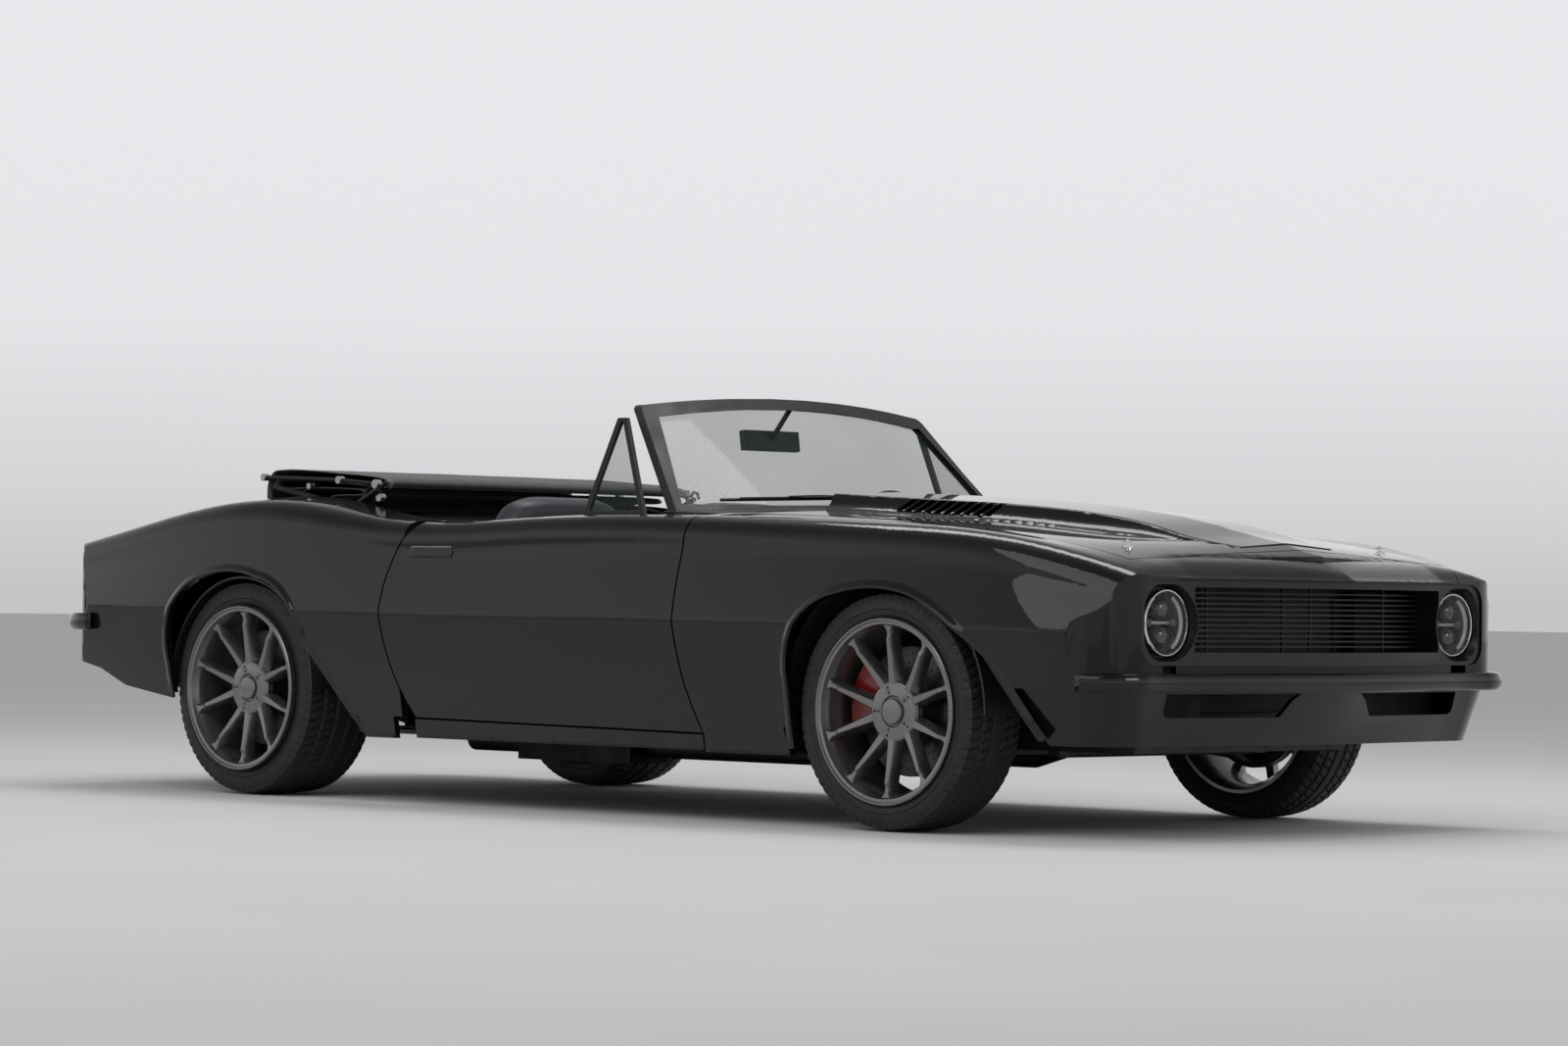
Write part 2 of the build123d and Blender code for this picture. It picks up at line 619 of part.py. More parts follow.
def spider_face():
    """Front view of the spokes: five V pairs on a round hub."""
    face = Circle(HUB_RADIUS)
    for pair in range(SPOKE_PAIRS):
        middle = 180 + pair * 360 / SPOKE_PAIRS
        for lean in (-1, 1):
            hub_angle = radians(middle + lean * 8)
            rim_angle = radians(middle + lean * 18)
            start = Vector(0.75 * HUB_RADIUS * cos(hub_angle), 0.75 * HUB_RADIUS * sin(hub_angle))
            end = Vector((BARREL_RADIUS + 4) * cos(rim_angle), (BARREL_RADIUS + 4) * sin(rim_angle))
            along = (end - start).normalized()
            across = Vector(-along.Y, along.X)
            wide, thin = SPOKE_WIDTH * 0.85, SPOKE_WIDTH * 0.42
            corners = [start + across * wide, end + across * thin, end - across * thin, start - across * wide]
            face += polygon(*[(c.X, c.Y) for c in corners])
    return face


def rim(axle):
    _, inner, outer, lip, _ = WHEELS[axle]
    back = min(inner + 6, lip - 200)
    barrel = turned([
        (RIM_LIP_RADIUS, lip), (RIM_LIP_RADIUS, outer - 1), (BEAD_RADIUS, outer - 16), (BEAD_RADIUS - 4, back + 24),
        (BEAD_RADIUS, back + 7), (RIM_LIP_RADIUS - 4, back), (RIM_LIP_RADIUS - 14, back), (BARREL_RADIUS, back + 24),
        (BARREL_RADIUS, lip - 30), (RIM_LIP_RADIUS - 12, lip),
    ])
    face = lip - 42
    dish = turned([
        (0, face), (HUB_RADIUS, face), (BARREL_RADIUS + 6, lip - 10), (BARREL_RADIUS + 6, lip - 52),
        (HUB_RADIUS + 40, lip - 70), (HUB_RADIUS + 8, lip - HUB_FACE_SET_IN), (0, lip - HUB_FACE_SET_IN),
    ])
    spider = extrude(Plane.XY.offset(lip - 100) * spider_face(), amount=100) & dish
    shape = barrel + spider
    cap = Pos(0, 0, face + 4) * Cylinder(CAP_RADIUS, 12)
    pockets = [
        Rot(0, 0, 180 + i * 360 / LUG_COUNT) * Pos(LUG_CIRCLE_RADIUS, 0, face) * Cylinder(LUG_POCKET_RADIUS, 24)
        for i in range(LUG_COUNT)
    ]
    return largest(shape - pockets + cap)


def brake_disc(axle):
    lip = WHEELS[axle][3]
    hub_face = lip - HUB_FACE_SET_IN - SEAT
    ring_face = hub_face - DISC_HAT_DEPTH
    ring_back = ring_face - DISC_THICKNESS
    return turned([
        (0, hub_face), (DISC_HAT_RADIUS, hub_face), (DISC_HAT_RADIUS, ring_face),
        (DISC_RADIUS, ring_face), (DISC_RADIUS, ring_back), (0, ring_back),
    ])


def disc_back(axle):
    return WHEELS[axle][3] - HUB_FACE_SET_IN - SEAT - DISC_HAT_DEPTH - DISC_THICKNESS


def caliper(axle):
    """A fixed caliper behind the axle, straddling the disc."""
    back = disc_back(axle)
    low, high = back - 22, back + DISC_THICKNESS + 20
    body = turned([(118, low), (DISC_RADIUS + 24, low), (DISC_RADIUS + 24, high), (118, high)])
    clear = CALIPER_CLEARANCE
    slot = turned([
        (0, back - clear), (DISC_RADIUS + clear, back - clear),
        (DISC_RADIUS + clear, back + DISC_THICKNESS + clear), (0, back + DISC_THICKNESS + clear),
    ])
    reach = 400
    half = radians(CALIPER_ARC / 2)
    middle = radians(168)
    wedge = polygon(
        (0, 0), (reach * cos(middle - half), reach * sin(middle - half)),
        (reach * cos(middle + half), reach * sin(middle + half)),
    )
    return (body - slot) & extrude(wedge, amount=1000)


def knuckle():
    """Front hub carrier with its ball joint eyes and caliper bracket, in the axle frame."""
    back = disc_back("front")
    boss = Pos(0, 0, back - SEAT - 24) * Cylinder(46, 48)
    upright = box((-24, 24), (-118, 138), (KINGPIN_Y - 16, back - RUNNING))
    eyes = [Pos(0, y, KINGPIN_Y) * Rot(90, 0, 0) * Cylinder(16, 14) for y in (-120, 140)]
    low = back - 22
    bracket = box((-165, -30), (0, 45), (low - 14, low - SEAT))
    arm = box((-70, 0), (-20, 60), (low - 14, back - RUNNING))
    return boss + upright + eyes + bracket + arm


def place_wheel_piece(shape, axle, side):
    placed = axle_frame(axle, -1).location * shape
    return placed if side < 0 else mirror(placed, Plane.XZ)


# Chassis

def subframe():
    rails = box((712, 1960), (400, 452), (222, 300))
    shape = both_sides(rails)
    shape += box((1340, 1500), (-452, 452), (205, 280)) + box((1900, 1960), (-452, 452), (222, 290))
    lower, upper = WHEELS["front"][0] - 120, WHEELS["front"][0] + 140
    x = FRONT_AXLE_X
    eye_low, eye_high = lower - 7 - SEAT, upper + 7 + SEAT
    for fore in (-1, 1):
        shape += both_sides(bar((x + fore * 90, 430, 225), (x, KINGPIN_Y, eye_low - 20), 12))
        shape += both_sides(bar((x + fore * 70, 440, 505), (x, KINGPIN_Y, eye_high + 14), 10))
    shape += both_sides(Pos(x, KINGPIN_Y, eye_low - 16) * Cylinder(15, 32))
    shape += both_sides(Pos(x, KINGPIN_Y, eye_high + 12) * Cylinder(15, 24))
    towers = box((x - 90, x + 90), (400, 452), (290, 520))
    shape += both_sides(towers)
    shape += bar((x + 250, 430, 215), (x + 250, -430, 215), 13)
    shape += both_sides(box((x + 230, x + 270), (405, 447), (205, 240)))
    for pad_x in (900, 1860):
        shape += both_sides(box((pad_x, pad_x + 60), (440, 462 - SEAT), (280, 330)))
    return shape


def inner_fenders():
    radius, _, _, _, x = WHEELS["front"]
    inside, outside = radius + LINER_CLEARANCE, radius + LINER_CLEARANCE + LINER_THICKNESS
    ring = Pos(x, 0, radius) * Rot(90, 0, 0) * (Cylinder(outside, 2 * 867.7) - Cylinder(inside, 2 * 900))
    arches = ring & both_sides(box((x - 500, x + 500), (462, 900), (radius, 1100)))
    apron = box((FIREWALL_X + SEAT, 2050), (462, 470), (300, 740)) - box((x - 130, x + 130), (0, 900), (290, 560))
    support = box((2042, 2050), (-470, 470), (300, 700)) - box((2000, 2100), (-290, 290), (330, 650))
    tie = box((2030, 2050), (-640, 640), (680, 700))
    wings = both_sides(box((1900, 2050), (462, 640), (684, 700)))
    feet = box((1990, 2050), (-452, 452), (290, 300))
    return arches + both_sides(apron) + support + tie + wings + feet


def floor_pan():
    """Cabin floor, tunnel and firewall with the hinge posts at its front corners."""
    plate = box((-900, FIREWALL_X), (-FLOOR_HALF_WIDTH, FLOOR_HALF_WIDTH), (FLOOR_Z, FLOOR_Z + FLOOR_THICKNESS))
    tunnel = box((-900, FIREWALL_X), (-TUNNEL_HALF_WIDTH, TUNNEL_HALF_WIDTH), (FLOOR_Z, TUNNEL_TOP_Z))
    bore_half = TUNNEL_HALF_WIDTH - 10
    tunnel_bore = box((-950, 720), (-bore_half, bore_half), (0, TUNNEL_TOP_Z - 10))
    wide = (-FLOOR_HALF_WIDTH, FLOOR_HALF_WIDTH)
    firewall = box((FIREWALL_X - 10, FIREWALL_X), wide, (FLOOR_Z, PLENUM_Z))
    firewall += box((PLENUM_X, FIREWALL_X), wide, (PLENUM_Z - 10, PLENUM_Z))
    under_cowl = Pos(0, 0, -HOOD_THICKNESS - SEAT) * OUTER
    firewall += box((PLENUM_X, PLENUM_X + 10), (-700, 700), (PLENUM_Z - 10, 1000)) & under_cowl
    riser = box((-900, -888), (-BOOT_HALF_WIDTH, BOOT_HALF_WIDTH), (FLOOR_Z, AXLE_DECK_Z))
    post = box((FIREWALL_X - 10, 830), (FLOOR_HALF_WIDTH - 18, FLOOR_HALF_WIDTH - 10), (FLOOR_Z, 780))
    post += box((766, 830), (FLOOR_HALF_WIDTH - 18, 826), (FLOOR_Z, 780))
    for height in DOOR_HINGE_HEIGHTS:
        low = height - SEAT - 15
        post += Pos(HINGE_X, HINGE_Y, low + 7.5) * Cylinder(HINGE_PIN_RADIUS, 15)
        post += box((HINGE_X, 800), (HINGE_Y - 28, HINGE_Y), (low, low + 15))
    return plate + tunnel - tunnel_bore + firewall + riser + both_sides(post)


def boot_floor():
    """Floor over the rear axle and under the boot, its wheelhouses and the shelf under the folded top."""
    wide = (-BOOT_HALF_WIDTH, BOOT_HALF_WIDTH)
    sheet = 12
    shelf = box((-1500, -1165), (-565, 565), (800, WELL_SHELF_Z))
    axle_deck = box((-1660, -888), wide, (AXLE_DECK_Z, AXLE_DECK_Z + sheet))
    drop = box((-1660 - sheet, -1660), wide, (BOOT_FLOOR_Z, AXLE_DECK_Z + sheet))
    pan_y = BOOT_HALF_WIDTH - SEAT
    pan = box((-2232, -1660 - sheet - SEAT), (-pan_y, pan_y), (BOOT_FLOOR_Z, BOOT_FLOOR_Z + sheet))
    radius, _, _, _, x = WHEELS["rear"]
    walls = box((x - radius - 14, x + radius + 14), (BOOT_HALF_WIDTH, 570), (BOOT_FLOOR_Z, WELL_SHELF_Z))
    outside, inside = radius + 13.7, radius + 7
    ring = Pos(x, 0, radius) * Rot(90, 0, 0) * (Cylinder(outside, 2 * 863.7) - Cylinder(inside, 2 * 900))
    arches = ring & box((x - 500, x + 500), (BOOT_HALF_WIDTH, 900), (radius, 1100))
    return axle_deck + drop + shelf + both_sides(walls) + both_sides(arches) + pan


def engine():
    return box((1080, 1720), (-250, 250), (280 + SEAT, 770))


def radiator():
    return box((1970, 2042 - SEAT), (-330, 330), (300 + SEAT, 672))


def exhaust():
    """Twin pipes: under the floor, over the axle, out beside the tank."""
    y, low, high, tail_y, tail_z, r = 232.0, 170.0, 412.0, 440.0, 340.0, 28.0
    route = [(1250, y, 240), (1000, y, low), (-930, y, low), (-1080, y, high), (-1430, y, high),
             (-1630, tail_y, tail_z), (-2240, tail_y, tail_z)]
    shape = box((-650, -150), (y - 80, y + 80), (low - 45, FLOOR_Z - SEAT))
    for start, end in zip(route, route[1:]):
        shape += bar(start, end, r)
    for joint in route[1:-1]:
        shape += Pos(*joint) * Sphere(r)
    return shape + mirror(shape, Plane.XZ)


def rear_axle():
    radius, _, _, _, x = WHEELS["rear"]
    end = disc_back("rear") - SEAT
    shape = Pos(x, 0, radius) * Rot(90, 0, 0) * Cylinder(38, 2 * (end - 10))
    shape += both_sides(Pos(x, end - 9, radius) * Rot(90, 0, 0) * Cylinder(52, 18))
    shape += Pos(x, 0, radius) * Sphere(120)
    shape += both_sides(bar((x, 500, radius), (-930, 500, 240), 20))
    spring = bar((x - 60, 430, radius - 20), (x - 92, 430, 490), 24)
    shape += both_sides(spring - box((x - 200, x), (300, 560), (470 - SEAT, 600)))
    shape += both_sides(box((-940, -900 - SEAT), (478, 522), (215, 262)))
    shape += both_sides(box((x - 90, x), (400, 460), (radius - 45, radius + 10)))
    return shape


def fuel_tank():
    return box((-2200, -1760), (-380, 380), (292, BOOT_FLOOR_Z - SEAT))


# Nose and tail

def nose_band(inset, x_back):
    """Plan of the lower nose, closed at the back."""
    d = inset
    corner = NOSE_CORNER_X - d
    edges = [
        Line((NOSE_PEAK_X - 52 - d, 0), (corner - 8, 560 - d * 0.5)),
        Line((corner - 8, 560 - d * 0.5), (corner - 20, 700 - d)),
        ThreePointArc((corner - 20, 700 - d), (2186 - d, 798 - d), (2100 - d, 850 - d)),
        Line((2100 - d, 850 - d), (x_back, 876 - d)),
        Line((x_back, 876 - d), (x_back, 0)),
        Line((x_back, 0), (NOSE_PEAK_X - 52 - d, 0)),
    ]
    half = make_face(Curve() + edges)
    return half + mirror(half, Plane.XZ)


def band_wall(low, high):
    """Upright wall that follows the lower nose between two heights."""
    wall = plan_prism(nose_band(0, 1700), low, high) - plan_prism(nose_band(VALANCE_WALL, 1600), low - 1, high + 1)
    return wall


def front_valance():
    """Leaning panel under the bumper with two openings, and the wall behind the bumper up to the mouth."""
    top, bottom, lean = VALANCE_TOP_Z - SEAT, VALANCE_BOTTOM_Z, 36.0
    wall = VALANCE_WALL
    top_plane, foot_plane = Plane.XY.offset(top), Plane.XY.offset(bottom)
    outer = loft([top_plane * nose_band(0, 1700), foot_plane * nose_band(lean, 1700)], ruled=True)
    inner = loft([top_plane * nose_band(wall, 1600), foot_plane * nose_band(lean + wall, 1600)], ruled=True)
    shape = outer - inner
    shape = shape - side_prism(arch_outline("front"), -960, 960) - box((1500, 1960), (-960, 960), (0, 287))
    for side in (1, -1):
        points = [(side * y, z) for y, z in VALANCE_OPENING]
        shape = shape - extrude(Plane.YZ.offset(2000) * polygon(*points), amount=400)
    shape = shape & box((1840, 2400), (-960, 960), (0, 500))
    filler = band_wall(top - 1, MOUTH_BOTTOM_Z - SEAT) & box((2100, 2400), (-600 + SEAT, 600 - SEAT), (0, 500))
    return largest(shape + filler)


def blade(plan, low, high):
    """A bumper blade with a rounded outer face, lofted through copies of its plan."""
    sections = [Plane.XY.offset(low + (high - low) * share) * plan(inset) for share, inset in BLADE_ROUND]
    half = loft(sections, ruled=True)
    return half + mirror(half, Plane.XZ)


def front_blade_plan(inset):
    """Right half of the front bumper in plan: a V in the middle, straight to the lamps, wrapped ends."""
    d = inset
    back = HALF_LENGTH - FRONT_BLADE_DEPTH
    corner = HALF_LENGTH - 80
    return make_face(Curve() + [
        Line((HALF_LENGTH - d, 0), (corner - d, 560 - d * 0.1)),
        Line((corner - d, 560 - d * 0.1), (corner - 10 - d, 720 - d * 0.2)),
        ThreePointArc((corner - 10 - d, 720 - d * 0.2), (corner - 30 - d * 0.8, 824 - d * 0.6), (2144, 896 - d)),
        Line((2144, 896 - d), (2112, 878 - d * 0.4)),
        ThreePointArc((2112, 878 - d * 0.4), (2212, 808), (2240, 712)),
        Line((2240, 712), (2240, 540)),
        Line((2240, 540), (back, 0)),
        Line((back, 0), (HALF_LENGTH - d, 0)),
    ])


def front_bumper():
    low, high = BUMPER_Z
    brackets = both_sides(box((2220, 2290), (230, 270), (VALANCE_TOP_Z, VALANCE_TOP_Z + 24)))
    behind = plan_prism(nose_band(-SEAT, 1700), low - 10, high + 10)
    return blade(front_blade_plan, low, high) + (brackets - behind)


def rear_blade_plan(inset):
    """Right half of the rear bumper in plan: bowed, its ends wrapped round the tail."""
    d = inset
    return make_face(Curve() + [
        ThreePointArc((-HALF_LENGTH + d, 0), (-2334 + d, 400), (-2296 + d, 700)),
        ThreePointArc((-2296 + d, 700), (-2240 + d * 0.7, 832 - d * 0.7), (-2070, 904 - d * 0.8)),
        Line((-2070, 904 - d * 0.8), (-2062, 887)),
        ThreePointArc((-2062, 887), (-2208, 812), (-2264, 690)),
        ThreePointArc((-2264, 690), (-2298, 400), (-2308, 0)),
        Line((-2308, 0), (-HALF_LENGTH + d, 0)),
    ])


def rear_bumper():
    low, high = REAR_BUMPER_Z
    brackets = both_sides(box((-2322, -2200), (300, 340), (low + 8, high - 8)))
    return blade(rear_blade_plan, low, high) + (brackets - Pos(-SEAT, 0, 0) * OUTER)


def lamp_outline(reach, corner):
    """Front view of the dish round the right-hand lamp: round towards the grille, squared towards the wing."""
    square = reach - corner
    return make_face(Curve() + [
        ThreePointArc((0, -reach), (reach, 0), (0, reach)),
        Line((0, reach), (-square, reach)),
        ThreePointArc((-square, reach), (-square - corner * 0.707, square + corner * 0.707), (-reach, square)),
        Line((-reach, square), (-reach, -square)),
        ThreePointArc((-reach, -square), (-square - corner * 0.707, -square - corner * 0.707), (-square, -reach)),
        Line((-square, -reach), (0, -reach)),
    ])


def lamp_dish():
    """Room in front of the right-hand lamp, widening from its ring to the front of the surround."""
    sections = []
    for x, reach, corner in ((LAMP_FACE_X - 26, LAMP_RADIUS + 4, LAMP_RADIUS - 4), (NOSE_CORNER_X + 8, 107, 58)):
        sections.append(Plane.YZ.offset(x) * Pos(-LAMP_Y, LAMP_Z) * lamp_outline(reach, corner))
    return loft(sections, ruled=True)


def grille():
    """Black surround that follows the nose, a dish round each lamp, and the set-back grille of thin bars."""
    back = GRILLE_BACK_X
    shape = extrude(Plane.YZ.offset(back) * mouth_face(-SEAT), amount=400) & plan_prism(nose_plan(6), 400, 800)
    low, high = GRILLE_OPENING_Z
    window = box((back - 10, 2400), (-GRILLE_INNER_Y, GRILLE_INNER_Y), (low, high))
    bore = Pos(back + 60, LAMP_Y, LAMP_Z) * Rot(0, 90, 0) * Cylinder(LAMP_RADIUS + SEAT, 200)
    rim = Pos(back, LAMP_Y, LAMP_Z) * Rot(0, 90, 0) * Cylinder(LAMP_RADIUS + 18, 400)
    shape = shape - (window - both_sides(rim)) - both_sides(bore)
    shape = shape - lamp_dish() - mirror(lamp_dish(), Plane.XZ)
    lamp_backs = extrude(Plane.YZ.offset(back - 1) * mouth_face(-24), amount=31)
    lamp_backs = lamp_backs - box((2000, 2400), (-GRILLE_INNER_Y - 14, GRILLE_INNER_Y + 14), (400, 800))
    collar = Pos(back + 20, LAMP_Y, LAMP_Z) * Rot(0, 90, 0) * Cylinder(LAMP_RADIUS + 12, 120)
    shape = shape - (lamp_backs - both_sides(collar))
    pitch = (high - low) / (GRILLE_BAR_COUNT + 1)
    half = GRILLE_BAR_THICKNESS / 2
    bars = Part()
    for i in range(GRILLE_BAR_COUNT):
        z = low + pitch * (i + 1)
        bars += box((back + 6, back + 26), (-GRILLE_INNER_Y - 4, GRILLE_INNER_Y + 4), (z - half, z + half))
    for y in GRILLE_POSTS:
        bars += box((back + 4, back + 10), (y - 3, y + 3), (low - 4, high + 4))
    return largest(shape + (bars - both_sides(bore)))


def headlamps():
    """Round lamps: a cup with two main and two small projectors, lit edges and a domed lens in its mouth."""
    cup = Pos(0, 0, LAMP_DEPTH / 2) * Cylinder(LAMP_RADIUS, LAMP_DEPTH)
    dome_radius = (LAMP_RADIUS**2 + LAMP_DOME**2) / (2 * LAMP_DOME)
    dome_centre = Pos(0, 0, LAMP_DEPTH - dome_radius)
    cup = cup & dome_centre * Sphere(dome_radius)
    inner = LAMP_RADIUS - 6
    floor_z = 14.0
    cup = cup - Pos(0, 0, floor_z + 50) * Cylinder(inner, 100)
    for across, up, radius, height in LAMP_PROJECTORS:
        cup += Pos(up, across, floor_z + height / 2) * Cylinder(radius, height)
        cup -= Pos(up, across, floor_z + height + radius) * Sphere(radius * 1.08)
    crescent = (Cylinder(inner - 3, 26) - Cylinder(inner - 12, 30)) - Box(80, 400, 60)
    crescent = crescent + (Cylinder(inner - 3, 26) - Cylinder(inner - 12, 30)) & Box(110, 400, 60)
    cup += Pos(0, 0, floor_z + 13) * crescent
    lens = dome_centre * (Sphere(dome_radius) - Sphere(dome_radius - 3))
    lens = lens & Pos(0, 0, LAMP_DEPTH - 10) * Cylinder(inner - SEAT, 40)
    placed = Pos(LAMP_FACE_X - LAMP_DEPTH, LAMP_Y, LAMP_Z) * Rot(0, 90, 0) * (cup + lens)
    return placed + mirror(placed, Plane.XZ)


def tail_lamp_box(grow):
    g = grow
    return both_sides(box((-2400, -2240 + g), (470 - g, 730 + g), (604 - g, 700 + g)))


def tail_lamps():
    return OUTER & tail_lamp_box(0)


# Windscreen

def screen_point(z):
    """Side edge of the windscreen plane at a height: x, half width and forward bow at the middle."""
    (x0, y0, z0), (x1, y1, z1) = SCREEN_BASE, SCREEN_TOP
    t = (z - z0) / (z1 - z0)
    return x0 + (x1 - x0) * t, y0 + (y1 - y0) * t, SCREEN_BASE_BOW + (SCREEN_TOP_BOW - SCREEN_BASE_BOW) * t


def screen_slab(front, back, z_low, z_high):
    """A bowed, raked sheet that follows the windscreen, between two depths behind its face."""
    faces = []
    for z in (z_low, z_high):
        x, y, bow = screen_point(z)
        outline = Curve() + [
            ThreePointArc((x - front, -y), (x + bow - front, 0), (x - front, y)),
            Line((x - front, y), (x - back, y)),
            ThreePointArc((x - back, y), (x + bow - back, 0), (x - back, -y)),
            Line((x - back, -y), (x - front, -y)),
        ]
        faces.append(Plane.XY.offset(z) * make_face(outline))
    return loft(faces, ruled=True)


def screen_front_view(inset):
    """Front view of the windscreen's outline, moved in by the inset."""
    d = inset
    _, base_y, base_z = SCREEN_BASE
    _, top_y, top_z = SCREEN_TOP
    foot = (base_y + 6 - d, base_z - 20 + d)
    shoulder = (top_y + 6 - d * 1.2, top_z - 22 - d * 0.6)
    turn = (top_y - 4 - d, top_z - 4 - d * 0.9)
    corner = (top_y - 30 - d * 0.8, top_z + 4 - d)

    def other(point):
        return (-point[0], point[1])

    edges = [
        Line(other(foot), foot),
        Line(foot, shoulder),
        ThreePointArc(shoulder, turn, corner),
        ThreePointArc(corner, (0, top_z + HEADER_RISE - d), other(corner)),
        ThreePointArc(other(corner), other(turn), other(shoulder)),
        Line(other(shoulder), other(foot)),
    ]
    return extrude(Plane.YZ.offset(-200) * make_face(Curve() + edges), amount=1200)


def windscreen_frame():
    frame = (screen_slab(0, PILLAR_SIZE, 850, 1260) & screen_front_view(0)) - screen_front_view(PILLAR_SIZE)
    frame = frame - Pos(0, 0, -HOOD_THICKNESS) * OUTER
    cowl = top_layer(HOOD_THICKNESS, box((COWL_REAR_X - 30, COWL_FRONT_X), (-718 + SEAT, 718 - SEAT), (600, 1100)))
    window = screen_slab(-PILLAR_SIZE, 2 * PILLAR_SIZE, 850, 1260) & screen_front_view(PILLAR_SIZE)
    lug_top = station(HOOD_PIVOT[0])[9] - 6
    return largest(frame + (cowl - window) + hinge_lug(HOOD_PIVOT, lug_top, HOOD_HINGE_Y + 15 + SEAT))


def windscreen_glass():
    middle = PILLAR_SIZE / 2
    half = GLASS_THICKNESS / 2
    pane = screen_slab(middle - half, middle + half, 850, 1260)
    return pane & screen_front_view(PILLAR_SIZE + SEAT)


def mirror_inside(frame, glass):
    head = Pos(118, 0, 1104) * Rot(0, -8, 0) * Box(22, 234, 60)
    stem = bar((126, 0, 1110), (208, 0, 1206), 8)
    return largest(head + stem - frame - glass)


def vent_window(side):
    """Front quarter window of a door: a leaning triangular frame with its pane."""
    low, high = DOOR_LEDGE_Z, VENT_TOP_Z
    corners = [(130, high), (168, high), (398, low), (132, low)]
    opening = grown_outline([(138, high), (164, high), (386, low + 10), (138, low + 10)], {}, -12)

    def leaning(thickness):
        half = thickness / 2
        lean = polygon(
            (VENT_FOOT_Y - half, low), (VENT_FOOT_Y + half, low),
            (VENT_HEAD_Y + half, high), (VENT_HEAD_Y - half, high),
        )
        return extrude(Plane.YZ * lean, amount=600)

    frame = (side_prism(polygon(*corners), 500, 900) & leaning(VENT_THICKNESS)) - side_prism(opening, 400, 1000)
    pane_outline = grown_outline([(138, high), (164, high), (386, low + 10), (138, low + 10)], {}, -12 - SEAT)
    pane = side_prism(pane_outline, 500, 900) & leaning(VENT_PANE)
    shape = frame + pane
    return shape if side > 0 else mirror(shape, Plane.XZ)


# Cabin

def dashboard():
    front = PLENUM_X - SEAT
    profile = polygon((front, 820), (440, 842), (310, 862), (266, 834), (290, 730), (370, 650), (front, 650))
    shape = side_prism(profile, -690, 690)
    column = bar((410, SEAT_Y, 694), (206, SEAT_Y, 789), 24)
    return shape + column


def steering_wheel():
    ring = Torus(172, 12) + Cylinder(46, 30)
    for angle in (0, 180, 270):
        ring += Rot(0, 0, angle) * Pos(85, 0, 0) * Box(180, 26, 8)
    back = Vector(*STEERING_HUB) + Vector(-cos(radians(25)), 0, sin(radians(25))) * 16
    return Pos(*back) * Rot(0, -STEERING_TILT, 0) * ring


def console():
    return box((-420, 420), (-90, 90), (TUNNEL_TOP_Z + SEAT, TUNNEL_TOP_Z + 110))


def front_seat(side):
    profile = make_face(Curve() + [
        Line((170, 300), (190, 430)), ThreePointArc((190, 430), (160, 462), (110, 466)),
        Line((110, 466), (-300, 440)), Line((-300, 440), (-400, 880)),
        ThreePointArc((-400, 880), (-470, 934), (-540, 880)), Line((-540, 880), (-470, 300)),
        Line((-470, 300), (170, 300)),
    ])
    y = SEAT_Y
    shape = side_prism(profile, y - SEAT_HALF_WIDTH, y + SEAT_HALF_WIDTH)
    base = box((-440, 140), (y - 200, y + 200), (FLOOR_Z + FLOOR_THICKNESS + SEAT, 300))
    shape = shape + base
    return shape if side > 0 else mirror(shape, Plane.XZ)


def rear_seat():
    deck = AXLE_DECK_Z + 12 + SEAT
    profile = polygon(
        (-600, 262), (-600, 500), (-640, 522), (-960, 512), (-1010, 900), (-1150, 900),
        (-1150, deck), (-888 + SEAT, deck), (-888 + SEAT, 262),
    )
    shape = side_prism(profile, -558, 558)
    return shape - box((-900, 0), (-TUNNEL_HALF_WIDTH - 5, TUNNEL_HALF_WIDTH + 5), (0, TUNNEL_TOP_Z + SEAT))


def folded_top():
    profile = polygon((-1490, 810), (-1490, 1000), (-1450, 1022), (-1320, 1024), (-950, 996), (-888, 974),
                      (-888, 940), (-1150, 925), (-1180, 810))
    return side_prism(profile, -645, 645)


def top_linkage():
    plate = box((-1240, -1000), (668, 690 - SEAT), (780, 905))
    rods = bar((-1020, 679, 895), (-1400, 679, 960), 9) + bar((-1020, 679, 895), (-900, 679, 950), 9)
    return both_sides(plate + rods)


def export_all(nodes):
    os.makedirs("parts", exist_ok=True)
    for name, shape in nodes.items():
        print(name, len(shape.solids()))
        export_step(shape, f"parts/{name}.step")


